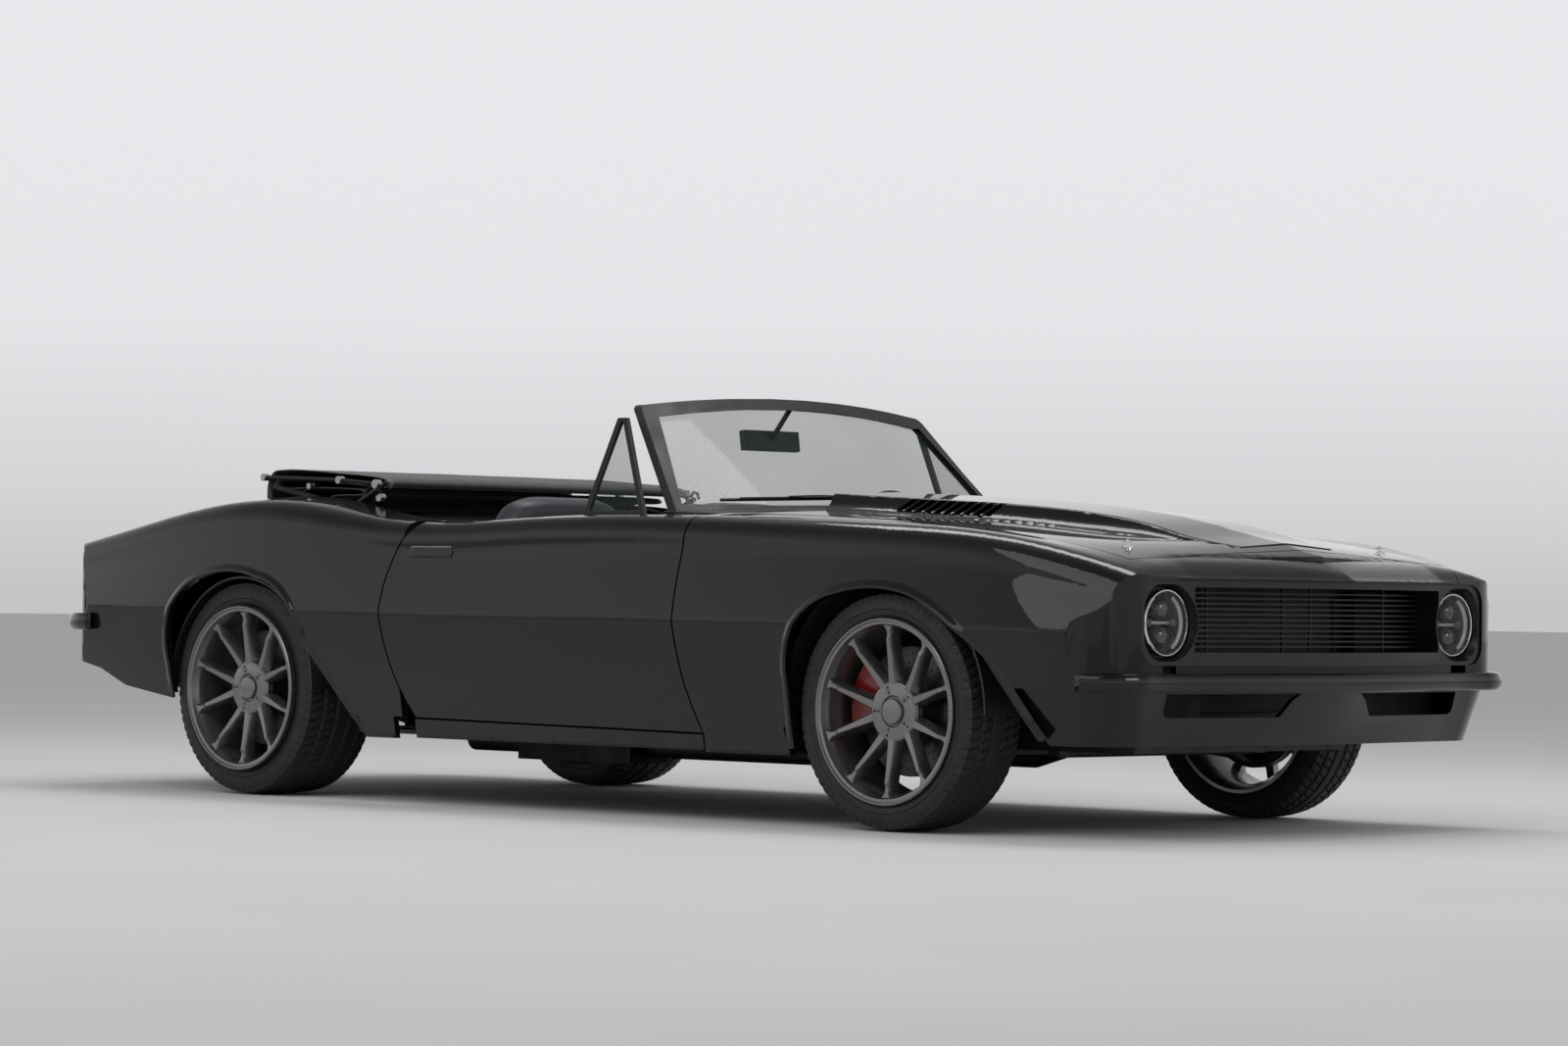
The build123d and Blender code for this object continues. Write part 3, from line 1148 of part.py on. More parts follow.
if __name__ == "__main__":
    nodes = {}
    fender_right, door_right = fender(-1), door(-1)
    for name, side in (("left", 1), ("right", -1)):
        nodes["fender_" + name] = fender_right if side < 0 else mirror(fender_right, Plane.XZ)
        nodes["door_" + name] = door_right if side < 0 else mirror(door_right, Plane.XZ)
        nodes["vent_window_" + name] = vent_window(side)
        nodes["seat_" + name] = front_seat(side)
        nodes["knuckle_" + name] = place_wheel_piece(knuckle(), "front", side)
        nodes["caliper_" + name] = place_wheel_piece(caliper("front"), "front", side)
    for axle in WHEELS:
        pieces = {"tyre": tyre(axle), "rim": rim(axle), "brake_disc": brake_disc(axle)}
        for piece, shape in pieces.items():
            for name, side in (("left", 1), ("right", -1)):
                nodes[f"{piece}_{axle}_{name}"] = place_wheel_piece(shape, axle, side)
    rocker_right = rocker(-1)
    nodes["rockers"] = rocker_right + mirror(rocker_right, Plane.XZ)
    nodes["rear_body"] = rear_body() - tail_lamp_box(SEAT)
    nodes["tail_lamps"] = tail_lamps()
    nodes["trunk_lid"] = trunk_lid()
    nodes["hood"] = hood()
    nodes["header_panel"] = header_panel()
    nodes["front_valance"] = front_valance()
    nodes["front_bumper"] = front_bumper()
    nodes["rear_bumper"] = rear_bumper()
    nodes["grille"] = grille()
    nodes["headlamps"] = headlamps()
    frame = windscreen_frame()
    nodes["windscreen_frame"] = frame
    glass = windscreen_glass()
    nodes["windscreen_glass"] = glass
    nodes["interior_mirror"] = mirror_inside(frame, glass)
    nodes["dashboard"] = dashboard()
    nodes["steering_wheel"] = steering_wheel()
    nodes["console"] = console()
    nodes["rear_seat"] = rear_seat()
    nodes["folded_top"] = folded_top()
    nodes["top_linkage"] = top_linkage()
    nodes["subframe"] = subframe()
    nodes["inner_fenders"] = inner_fenders()
    nodes["floor_pan"] = floor_pan()
    nodes["boot_floor"] = boot_floor()
    nodes["engine"] = engine()
    nodes["radiator"] = radiator()
    nodes["exhaust"] = exhaust()
    nodes["rear_axle"] = rear_axle()
    nodes["fuel_tank"] = fuel_tank()
    export_all(nodes)
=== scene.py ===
import json
import math
import random

import bmesh
import bpy
import numpy as np
from mathutils import Matrix, Vector
from mathutils.bvhtree import BVHTree


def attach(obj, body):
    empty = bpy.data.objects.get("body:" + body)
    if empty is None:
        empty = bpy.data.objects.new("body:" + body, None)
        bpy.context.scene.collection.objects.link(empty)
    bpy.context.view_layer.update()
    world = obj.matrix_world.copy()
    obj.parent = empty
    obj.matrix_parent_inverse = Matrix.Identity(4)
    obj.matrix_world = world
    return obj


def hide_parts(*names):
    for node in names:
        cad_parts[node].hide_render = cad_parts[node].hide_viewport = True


# Open-top muscle car, metres. +X forward, +Y left, +Z up.

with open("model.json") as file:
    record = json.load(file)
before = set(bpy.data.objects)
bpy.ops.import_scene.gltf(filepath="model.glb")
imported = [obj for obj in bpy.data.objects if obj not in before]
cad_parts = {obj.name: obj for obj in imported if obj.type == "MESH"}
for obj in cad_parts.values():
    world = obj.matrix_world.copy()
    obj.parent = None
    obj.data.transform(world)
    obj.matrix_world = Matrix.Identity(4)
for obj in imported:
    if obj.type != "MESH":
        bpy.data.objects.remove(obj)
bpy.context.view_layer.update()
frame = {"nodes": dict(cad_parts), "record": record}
NODES = frame["nodes"]
BODIES = frame["record"]["behaviour"]["bodies"]
SIDES = {"left": 1, "right": -1}

# Body side master sections, tail to nose
# columns: x, sill y, lower side y, crease y, crease z, upper y, crest y, crest z, top y, top z, centre z, ridge
SECTIONS = [
    (-2.320, 0.790, 0.836, 0.856, 0.584, 0.830, 0.786, 0.768, 0.600, 0.784, 0.800, 0.0),
    (-2.000, 0.832, 0.868, 0.886, 0.582, 0.858, 0.812, 0.820, 0.620, 0.838, 0.858, 0.0),
    (-1.640, 0.850, 0.884, 0.908, 0.580, 0.878, 0.826, 0.882, 0.650, 0.902, 0.920, 0.0),
    (-1.330, 0.855, 0.888, 0.912, 0.578, 0.884, 0.828, 0.914, 0.690, 0.930, 0.940, 0.0),
    (-1.000, 0.855, 0.886, 0.910, 0.576, 0.878, 0.826, 0.898, 0.700, 0.916, 0.926, 0.0),
    (-0.700, 0.855, 0.886, 0.905, 0.574, 0.868, 0.832, 0.857, 0.700, 0.866, 0.876, 0.0),
    (0.000, 0.855, 0.887, 0.903, 0.570, 0.866, 0.836, 0.858, 0.700, 0.866, 0.880, 0.0),
    (0.700, 0.855, 0.887, 0.904, 0.567, 0.864, 0.826, 0.858, 0.690, 0.870, 0.888, 0.0),
    (1.100, 0.856, 0.888, 0.908, 0.564, 0.862, 0.812, 0.849, 0.686, 0.858, 0.866, 0.0),
    (1.416, 0.858, 0.890, 0.912, 0.560, 0.860, 0.806, 0.838, 0.682, 0.842, 0.848, 0.0),
    (1.850, 0.850, 0.882, 0.904, 0.556, 0.850, 0.794, 0.799, 0.680, 0.796, 0.815, 0.5),
    (2.100, 0.834, 0.866, 0.884, 0.554, 0.830, 0.772, 0.744, 0.672, 0.752, 0.796, 0.9),
    (2.340, 0.800, 0.830, 0.846, 0.552, 0.790, 0.735, 0.668, 0.655, 0.690, 0.702, 0.9),
]
SILL_Z = 0.196
LOWER_SIDE_Z = 0.400
UPPER_SIDE_DROP = 0.082
CREASE_ROUNDING = 0.004
SIDE_ROUNDING = 0.018
HULL_STEP = 0.011
PANEL_FACET = 0.022
CREASE_FACET = 0.012
CREASE_BAND = (0.530, 0.605)

# Rolled front edge of the nose: side view on the centreline, and how far it runs back per metre of width
BROW = ((2.240, 0.751), (2.300, 0.727), (2.342, 0.694))
BROW_SLOPE = 0.1944
BROW_STRAIGHT_Y = 0.540

# Raised centre of the hood
# columns: x, half width at the top edge, half width at the foot, top edge z, centre z
SCOOP = [
    (0.642, 0.262, 0.318, 0.936, 0.946),
    (1.100, 0.254, 0.312, 0.914, 0.928),
    (1.600, 0.240, 0.300, 0.879, 0.890),
    (1.850, 0.238, 0.286, 0.838, 0.850),
    (1.985, 0.242, 0.254, 0.806, 0.819),
    (2.110, 0.200, 0.214, 0.784, 0.797),
]

# Wheels
# columns: tyre radius, tyre inner y, tyre outer y, rim lip y, axle x
WHEELS = {
    "front": (0.326, 0.650, 0.863, 0.866, 1.416),
    "rear": (0.332, 0.583, 0.856, 0.872, -1.330),
}


# Meshes

def add_mesh(name, vertices, faces, smooth=True):
    """A new object from points and faces."""
    mesh = bpy.data.meshes.new(name)
    mesh.from_pydata([tuple(v) for v in vertices], [], faces)
    mesh.validate()
    mesh.polygons.foreach_set("use_smooth", [smooth] * len(mesh.polygons))
    return add_object(name, mesh)


def add_object(name, mesh):
    piece = bpy.data.objects.new(name, mesh)
    bpy.context.scene.collection.objects.link(piece)
    return piece


def add_bmesh(name, bm):
    mesh = bpy.data.meshes.new(name)
    bm.to_mesh(mesh)
    bm.free()
    return add_object(name, mesh)


def sharpen(bm, angle=0.5):
    """Smooth faces with sharp edges where two faces meet at more than the angle."""
    for face in bm.faces:
        face.smooth = True
    for edge in bm.edges:
        edge.smooth = len(edge.link_faces) == 2 and edge.calc_face_angle(0.0) < angle


def sharpen_piece(piece, angle=0.5):
    bm = bmesh.new()
    bm.from_mesh(piece.data)
    sharpen(bm, angle)
    bm.to_mesh(piece.data)
    bm.free()


def welded_copy(node):
    """A bmesh of a CAD node with its split vertices joined again."""
    bm = bmesh.new()
    bm.from_mesh(NODES[node].data)
    bmesh.ops.remove_doubles(bm, verts=bm.verts, dist=1e-5)
    return bm


def loose_parts(bm):
    """Sets of faces that hang together, the one with the largest box first."""
    left = set(bm.faces)
    parts = []
    while left:
        queue = [left.pop()]
        part = set(queue)
        while queue:
            for edge in queue.pop().edges:
                for face in edge.link_faces:
                    if face in left:
                        left.discard(face)
                        part.add(face)
                        queue.append(face)
        parts.append(part)

    def extent(part):
        points = np.array([v.co for f in part for v in f.verts])
        return float(np.prod(np.ptp(points, axis=0) + 1e-4))

    return sorted(parts, key=extent, reverse=True)


def bevel(piece, width, segments=2, angle=35.0):
    """Rounds the sharp edges of a piece."""
    modifier = piece.modifiers.new("edges", "BEVEL")
    modifier.width = width
    modifier.segments = segments
    modifier.limit_method = "ANGLE"
    modifier.angle_limit = math.radians(angle)
    modifier.harden_normals = True
    modifier.use_clamp_overlap = True
    return piece


def with_material(piece, material):
    piece.data.materials.clear()
    piece.data.materials.append(material)
    return piece


def body_of(node):
    for body, members in BODIES.items():
        if node in members:
            return body
    return "root"


def mounted(piece, body):
    """Gives a piece the body that it moves with."""
    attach(piece, body)
    return piece


def stand_in(piece, node):
    """The piece takes the place of a CAD node and moves with it."""
    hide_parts(node)
    return mounted(piece, body_of(node))


def extra(piece, body, material):
    """A piece of detail that moves with a body."""
    return mounted(with_material(piece, material), body)


def joined(name, pieces):
    """One object from several, each piece's faces kept as they are."""
    bm = bmesh.new()
    for piece in pieces:
        bm.from_mesh(piece.data)
        bpy.data.objects.remove(piece)
    return add_bmesh(name, bm)


def ring_sweep(name, rings, closed_path=False, closed_ring=True, caps=False):
    """A mesh through rings of points, each ring with the same number of points."""
    count, around = len(rings), len(rings[0])
    vertices = [p for ring in rings for p in ring]
    faces = []
    for i in range(count if closed_path else count - 1):
        for j in range(around if closed_ring else around - 1):
            a, b = i * around + j, i * around + (j + 1) % around
            c, d = ((i + 1) % count) * around + (j + 1) % around, ((i + 1) % count) * around + j
            faces.append((a, b, c, d))
    if caps:
        faces.append(tuple(range(around))[::-1])
        faces.append(tuple((count - 1) * around + j for j in range(around)))
    return add_mesh(name, vertices, faces)


def revolved(name, profile, place, axis_side, steps=96):
    """A ring turned about a wheel's axis. The profile is closed: radius and distance out from the centreline."""
    x, z = place
    rings = []
    for i in range(steps):
        turn = 2 * math.pi * i / steps
        c, s = math.cos(turn), math.sin(turn)
        rings.append([(x + r * c, axis_side * h, z + r * s) for r, h in profile])
    piece = ring_sweep(name, rings, closed_path=True)
    outward(piece)
    return piece


def turned_ahead(name, profile, place, facing=1, steps=48):
    """A form turned about a line along x. The profile is closed: radius and distance ahead, or behind when it
    faces back."""
    x, y, z = place
    rings = []
    for i in range(steps):
        turn = 2 * math.pi * i / steps
        rings.append([(x + facing * h, y + r * math.cos(turn), z + r * math.sin(turn)) for r, h in profile])
    piece = ring_sweep(name, rings, closed_path=True)
    outward(piece)
    return piece


def outward(piece):
    """Turns every face of a closed mesh outward."""
    bm = bmesh.new()
    bm.from_mesh(piece.data)
    bmesh.ops.recalc_face_normals(bm, faces=bm.faces)
    bm.to_mesh(piece.data)
    bm.free()


def tube(name, points, radius, around=12, caps=True):
    """A round bar through points."""
    points = [Vector(p) for p in points]
    rings = []
    up = Vector((0, 0, 1))
    for i, point in enumerate(points):
        ahead = points[min(i + 1, len(points) - 1)] - points[max(i - 1, 0)]
        ahead.normalize()
        side = ahead.cross(up)
        if side.length < 0.1:
            side = ahead.cross(Vector((1, 0, 0)))
        side.normalize()
        over = side.cross(ahead)
        ring = []
        for j in range(around):
            turn = 2 * math.pi * j / around
            ring.append(point + side * math.cos(turn) * radius + over * math.sin(turn) * radius)
        rings.append(ring)
    piece = ring_sweep(name, rings, caps=caps)
    sharpen_piece(piece, 0.9)
    return piece


def block(name, low, high, rounding=0.0, turn=None, centre=None):
    """A box between two corners, its edges rounded in the mesh, turned about its centre if told."""
    bm = bmesh.new()
    bmesh.ops.create_cube(bm, size=1.0)
    size = [b - a for a, b in zip(low, high)]
    middle = Vector([(a + b) / 2 for a, b in zip(low, high)])
    for vertex in bm.verts:
        vertex.co = Vector([c * s for c, s in zip(vertex.co, size)])
    if rounding:
        bmesh.ops.bevel(bm, geom=bm.edges, offset=rounding, segments=3, affect="EDGES", profile=0.5)
    if turn is not None:
        bmesh.ops.rotate(bm, verts=bm.verts, matrix=turn)
    bmesh.ops.translate(bm, verts=bm.verts, vec=middle if centre is None else Vector(centre))
    sharpen(bm, 0.6)
    return add_bmesh(name, bm)


def cut_out(piece, cutter):
    """Takes one mesh away from another for good."""
    modifier = piece.modifiers.new("cut", "BOOLEAN")
    modifier.operation = "DIFFERENCE"
    modifier.solver = "EXACT"
    modifier.object = cutter
    graph = bpy.context.evaluated_depsgraph_get()
    mesh = bpy.data.meshes.new_from_object(piece.evaluated_get(graph))
    piece.modifiers.clear()
    piece.data = mesh
    bpy.data.objects.remove(cutter)
    return piece


# Master hull

def spline_rows(rows, at):
    """Natural cubic through the rows' first column, for every other column."""
    table = np.array(sorted(rows))
    x, values = table[:, 0], table[:, 1:]
    count = len(x)
    step = np.diff(x)
    system = np.eye(count)
    right = np.zeros_like(values)
    for i in range(1, count - 1):
        system[i, i - 1:i + 2] = step[i - 1], 2 * (step[i - 1] + step[i]), step[i]
        right[i] = 6 * ((values[i + 1] - values[i]) / step[i] - (values[i] - values[i - 1]) / step[i - 1])
    bend = np.linalg.solve(system, right)
    result = []
    for p in at:
        i = min(max(int(np.searchsorted(x, p)) - 1, 0), count - 2)
        a, b, h = x[i + 1] - p, p - x[i], step[i]
        result.append(
            (bend[i] * a**3 + bend[i + 1] * b**3) / (6 * h)
            + (values[i] / h - bend[i] * h / 6) * a
            + (values[i + 1] / h - bend[i + 1] * h / 6) * b
        )
    return np.array(result)


def arc_points(a, middle, b, count):
    """Points along the arc through three points, without its last point."""
    a, middle, b = (np.array(p) for p in (a, middle, b))
    chord = b - a
    normal = np.array((-chord[1], chord[0])) / np.linalg.norm(chord)
    half = np.linalg.norm(chord) / 2
    off = middle - (a + b) / 2
    rise, along = np.dot(off, normal), np.dot(off, chord / (2 * half))
    if abs(rise) < 1e-5:
        return line_points(a, b, count)
    offset = (half**2 - rise**2 - along**2) / (2 * rise)
    centre = (a + b) / 2 - normal * offset
    start = math.atan2(*(a - centre)[::-1])
    sweep = math.atan2(*(b - centre)[::-1]) - start
    sweep = (sweep + math.pi) % (2 * math.pi) - math.pi
    radius = np.linalg.norm(a - centre)
    turn = start + sweep * np.arange(count) / count
    return centre + radius * np.stack([np.cos(turn), np.sin(turn)], axis=1)


def line_points(a, b, count):
    a, b = np.array(a), np.array(b)
    return a + (b - a) * (np.arange(count) / count)[:, None]


def rounded_curve(points, width_at):
    """A half section with its corners rounded, mirrored over the centreline for the sums."""
    last = points[-1] + (points[-1] - points[-2]) * np.arange(1, 9)[:, None]
    mirrored = points[1:9][::-1] * np.array((-1, 1))
    longer = np.vstack([mirrored, points, last])
    along = np.concatenate([[0], np.cumsum(np.linalg.norm(np.diff(longer, axis=0), axis=1))])
    weight = np.gradient(along)
    here = along[8:8 + len(points)]
    width = width_at(here)
    kernel = np.exp(-((here[:, None] - along[None, :]) / width[:, None])**2 / 2) * weight
    kernel /= kernel.sum(axis=1, keepdims=True)
    return kernel @ longer


def section_curve(row):
    """Half of one section, from the centreline to the sill, with its corners rounded."""
    sill, lower, crease, crease_z, upper, crest, crest_z, top, top_z, centre_z, ridge = row
    upper_z = crest_z - UPPER_SIDE_DROP
    bulge = ((upper + crest) / 2 + 0.013, (upper_z + crest_z) / 2 + 0.015)
    halfway_z = centre_z - (centre_z - top_z) * (1 + ridge) / 4
    parts = [
        arc_points((0, centre_z), (top / 2, halfway_z), (top, top_z), 48),
        line_points((top, top_z), (crest, crest_z), 10),
        arc_points((crest, crest_z), bulge, (upper, upper_z), 18),
        line_points((upper, upper_z), (crease, crease_z), 20),
        line_points((crease, crease_z), (lower, LOWER_SIDE_Z), 20),
        line_points((lower, LOWER_SIDE_Z), (sill, SILL_Z), 21),
    ]
    crease_index = sum(len(p) for p in parts[:4])

    def width_at(here):
        width = np.minimum(SIDE_ROUNDING, CREASE_ROUNDING + 0.35 * np.abs(here - here[crease_index]))
        if ridge > 0.2:
            width = np.minimum(width, 2 * CREASE_ROUNDING + 0.35 * (here - here[0]))
        return width

    return rounded_curve(np.vstack(parts), width_at)


def circle_through(a, b, c):
    """Centre and radius of the circle through three points."""
    (ax, ay), (bx, by), (cx, cy) = a, b, c
    d = 2 * (ax * (by - cy) + bx * (cy - ay) + cx * (ay - by))
    sa, sb, sc = ax * ax + ay * ay, bx * bx + by * by, cx * cx + cy * cy
    x = (sa * (by - cy) + sb * (cy - ay) + sc * (ay - by)) / d
    y = (sa * (cx - bx) + sb * (ax - cx) + sc * (bx - ax)) / d
    return x, y, math.hypot(ax - x, ay - y)


def under_brow(points):
    """Brings the hull down to the rolled front edge of the nose."""
    x, z, radius = circle_through(*BROW)
    s = points[..., 0] + BROW_SLOPE * np.minimum(np.abs(points[..., 1]), BROW_STRAIGHT_Y)
    inside = np.clip(radius**2 - (s - x)**2, 0, None)
    limit = np.where(s > BROW[0][0] - 0.01, np.maximum(z + np.sqrt(inside), BROW[2][1]), 9.0)
    blend = 0.006
    share = np.clip(0.5 + 0.5 * (limit - points[..., 2]) / blend, 0, 1)
    points[..., 2] = limit * (1 - share) + points[..., 2] * share - blend * share * (1 - share)
    return points


def grid_surface(xs, curves, after=None):
    """Tree, vertices, normals and faces of a smooth sheet through half sections."""
    rows, columns = curves.shape[:2]
    points = np.concatenate([np.broadcast_to(xs[:, None, None], (rows, columns, 1)), curves], axis=2)
    if after:
        points = after(points)
    along_x, along_s = np.gradient(points, axis=0), np.gradient(points, axis=1)
    normals = np.cross(along_x, along_s)
    normals /= np.linalg.norm(normals, axis=2, keepdims=True) + 1e-12
    faces = []
    for i in range(rows - 1):
        for j in range(columns - 1):
            k = i * columns + j
            faces.append((k, k + columns, k + columns + 1, k + 1))
    flat = points.reshape(-1, 3)
    tree = BVHTree.FromPolygons([tuple(p) for p in flat], faces)
    return tree, flat, normals.reshape(-1, 3), faces


def hull_surface():
    """The smooth left half of the body."""
    xs = np.arange(SECTIONS[0][0], SECTIONS[-1][0] + HULL_STEP, HULL_STEP)
    curves = np.array([section_curve(row) for row in spline_rows(SECTIONS, xs)])
    return grid_surface(xs, curves, under_brow)


def crown_height(row, y):
    """Height of the body's top at a distance from the centreline, from a spline row."""
    top, top_z, centre_z, ridge = row[7:11]
    share = abs(y) / top
    return centre_z - (centre_z - top_z) * (ridge * share + (1 - ridge) * share**2)


def scoop_surface():
    """The smooth left half of the hood's raised centre."""
    xs = np.arange(SCOOP[0][0] - HULL_STEP, SCOOP[-1][0] + HULL_STEP, HULL_STEP)
    curves = []
    for row, hull_row in zip(spline_rows(SCOOP, xs), spline_rows(SECTIONS, xs)):
        top, foot, edge_z, centre_z = row
        low_z = crown_height(hull_row, foot) - 0.003
        hollow = min(0.009, (edge_z - low_z) * 0.16)
        middle = ((top + foot) / 2 - hollow, (edge_z + low_z) / 2 - hollow)
        points = np.vstack([
            line_points((0, centre_z), (top, edge_z), 40),
            arc_points((top, edge_z), middle, (foot, low_z), 16),
        ])
        curves.append(rounded_curve(points, lambda here: np.full(len(here), 0.0045)))
    return grid_surface(xs, np.array(curves))


def inside_scoop(point):
    if not SCOOP[0][0] - 0.004 < point[0] < SCOOP[-1][0] + 0.002:
        return False
    return abs(point[1]) < spline_rows(SCOOP, [point[0]])[0][1] + 0.001


HULL = hull_surface()
RAISED = scoop_surface()


def nearest_on(surface, point):
    """Nearest point and normal on a smooth sheet, on either side of the car, and the distance."""
    tree, points, normals, faces = surface
    side = 1 if point[1] >= 0 else -1
    found, _, index, distance = tree.find_nearest((point[0], abs(point[1]), point[2]))
    total = np.zeros(3)
    for corner in faces[index]:
        gap = np.linalg.norm(points[corner] - np.array(found)) + 1e-6
        total += normals[corner] / gap
    total[1] *= side
    return Vector((found[0], found[1] * side, found[2])), Vector(total).normalized(), distance


def refine(bm, keep, facet):
    """Splits the long edges of the chosen faces until each is shorter than the facet."""
    for _ in range(7):
        long_edges = {e for f in bm.faces if keep(f) for e in f.edges if e.calc_length() > facet}
        if not long_edges:
            break
        bmesh.ops.subdivide_edges(bm, edges=list(long_edges), cuts=1)
        bmesh.ops.triangulate(bm, faces=[f for f in bm.faces if len(f.verts) > 3])


def skin_share(distance, normal):
    """How far a vertex goes over to the smooth body: all the way when near, not at all beyond a reach."""
    near, far = (0.009, 0.015) if normal[2] > 0.7 else (0.004, 0.009)
    return min(max((far - distance) / (far - near), 0.0), 1.0)


def skin_kind(face, raised):
    """1 for a face in the body's outer surface, 2 for one in the hood's raised centre, else 0."""
    middle = face.calc_center_median()
    if raised and inside_scoop(middle):
        _, normal, distance = nearest_on(RAISED, middle)
        if distance < 0.007 and face.normal.dot(normal) > 0.8:
            return 2
    _, normal, distance = nearest_on(HULL, middle)
    return int(skin_share(distance, normal) > 0 and face.normal.dot(normal) > 0.82)


def body_panel(node):
    """A CAD body panel with its outer skin drawn onto the smooth hull and shaded from it."""
    bm = welded_copy(node)
    bmesh.ops.triangulate(bm, faces=bm.faces)
    raised = node == "hood"
    kinds = [skin_kind(f, raised) for f in bm.faces]
    layer = bm.faces.layers.int.new("skin")
    for face, kind in zip(bm.faces, kinds):
        face[layer] = kind
    refine(bm, lambda f: f[layer], PANEL_FACET)
    low, high = CREASE_BAND
    refine(bm, lambda f: f[layer] and low < f.calc_center_median()[2] < high and abs(f.normal[2]) < 0.5, CREASE_FACET)
    bm.normal_update()
    sharpen(bm)
    own = {}
    for vertex in bm.verts:
        kinds = {f[layer] for f in vertex.link_faces} - {0}
        if kinds:
            place, normal, distance = nearest_on(RAISED if kinds == {2} else HULL, vertex.co)
            share = skin_share(distance, normal)
            own[vertex] = (vertex.normal.copy(), share)
            vertex.co = vertex.co.lerp(place, share)
    bm.verts.index_update()
    own = {vertex.index: value for vertex, value in own.items()}
    normals = {}
    loops = []
    for edge in bm.edges:
        if len(edge.link_faces) == 2 and edge.link_faces[0][layer] != edge.link_faces[1][layer]:
            edge.smooth = False
    for face in bm.faces:
        kind = face[layer]
        for corner in face.loops:
            key = (corner.vert.index, kind)
            if kind and key not in normals:
                normal = nearest_on(RAISED if kind == 2 else HULL, corner.vert.co)[1]
                plain, share = own[corner.vert.index]
                normals[key] = normal if share > 0.99 else plain.lerp(normal, share).normalized()
            loops.append(normals[key] if kind else Vector((0, 0, 0)))
    piece = add_bmesh(node + "_panel", bm)
    piece.data.normals_split_custom_set([tuple(n) for n in loops])
    return piece


# Materials

def new_material(name):
    material = bpy.data.materials.new(name)
    material.use_nodes = True
    return material, material.node_tree, material.node_tree.nodes["Principled BSDF"]


def mixed_colour(tree, factor, low, high):
    mix = tree.nodes.new("ShaderNodeMix")
    mix.data_type = "RGBA"
    mix.inputs[6].default_value = (*low, 1)
    mix.inputs[7].default_value = (*high, 1)
    tree.links.new(factor, mix.inputs[0])
    return mix.outputs[2]


def ranged(tree, value, low, high, from_low=0.3, from_high=0.7):
    node = tree.nodes.new("ShaderNodeMapRange")
    node.inputs[1].default_value = from_low
    node.inputs[2].default_value = from_high
    node.inputs[3].default_value = low
    node.inputs[4].default_value = high
    tree.links.new(value, node.inputs[0])
    return node.outputs[0]


def object_coordinates(tree, scale=(1, 1, 1)):
    place = tree.nodes.new("ShaderNodeTexCoord")
    mapping = tree.nodes.new("ShaderNodeMapping")
    mapping.inputs["Scale"].default_value = scale
    tree.links.new(place.outputs["Object"], mapping.inputs["Vector"])
    return mapping.outputs["Vector"]


def noise(tree, scale, detail=4.0, stretch=(1, 1, 1)):
    node = tree.nodes.new("ShaderNodeTexNoise")
    node.inputs["Scale"].default_value = scale
    node.inputs["Detail"].default_value = detail
    tree.links.new(object_coordinates(tree, stretch), node.inputs["Vector"])
    return node.outputs["Fac"]


def combined(tree, operation, first, second):
    node = tree.nodes.new("ShaderNodeMath")
    node.operation = operation
    tree.links.new(first, node.inputs[0])
    if isinstance(second, float):
        node.inputs[1].default_value = second
    else:
        tree.links.new(second, node.inputs[1])
    return node.outputs[0]


def bumped(tree, shader, height, strength, distance, sockets=("Normal",)):
    node = tree.nodes.new("ShaderNodeBump")
    node.inputs["Strength"].default_value = strength
    node.inputs["Distance"].default_value = distance
    tree.links.new(height, node.inputs["Height"])
    for socket in sockets:
        tree.links.new(node.outputs["Normal"], shader.inputs[socket])


def finish_material(name, colour, roughness, metallic=0.0, coat=0.0, coat_roughness=0.03, vary=0.15,
                    patch=6.0, grain=900.0, bump=0.15, depth=0.0003, stretch=(1, 1, 1), specular=0.5):
    """A finish with patchy colour and roughness and a fine surface grain."""
    material, tree, shader = new_material(name)
    low = tuple(c * (1 - vary) for c in colour)
    high = tuple(min(c * (1 + vary), 1) for c in colour)
    tree.links.new(mixed_colour(tree, noise(tree, patch, 5, stretch), low, high), shader.inputs["Base Color"])
    spread = ranged(tree, noise(tree, patch * 2.3, 6, stretch), roughness * 0.8, min(roughness * 1.25, 1))
    tree.links.new(spread, shader.inputs["Roughness"])
    shader.inputs["Metallic"].default_value = metallic
    shader.inputs["Specular IOR Level"].default_value = specular
    shader.inputs["Coat Weight"].default_value = coat
    shader.inputs["Coat Roughness"].default_value = coat_roughness
    if bump:
        bumped(tree, shader, noise(tree, grain, 3, stretch), bump, depth)
    return material


def paint_material():
    """Deep gloss black under clear coat, with a trace of orange peel and of dust low down."""
    material, tree, shader = new_material("gloss_black_paint")
    place = tree.nodes.new("ShaderNodeTexCoord")
    split = tree.nodes.new("ShaderNodeSeparateXYZ")
    tree.links.new(place.outputs["Object"], split.inputs[0])
    low = ranged(tree, split.outputs["Z"], 1.0, 0.0, 0.18, 0.42)
    dust = combined(tree, "MULTIPLY", low, noise(tree, 14, 8))
    colour = mixed_colour(tree, dust, (0.0022, 0.0023, 0.0030), (0.010, 0.0095, 0.009))
    tree.links.new(colour, shader.inputs["Base Color"])
    tree.links.new(ranged(tree, noise(tree, 5, 6), 0.30, 0.40), shader.inputs["Roughness"])
    shader.inputs["Specular IOR Level"].default_value = 0.08
    shader.inputs["Coat Weight"].default_value = 1.0
    shader.inputs["Coat Roughness"].default_value = 0.02
    shader.inputs["Coat IOR"].default_value = 1.40
    bumped(tree, shader, noise(tree, 220, 2), 0.012, 0.0002, ("Coat Normal",))
    return material


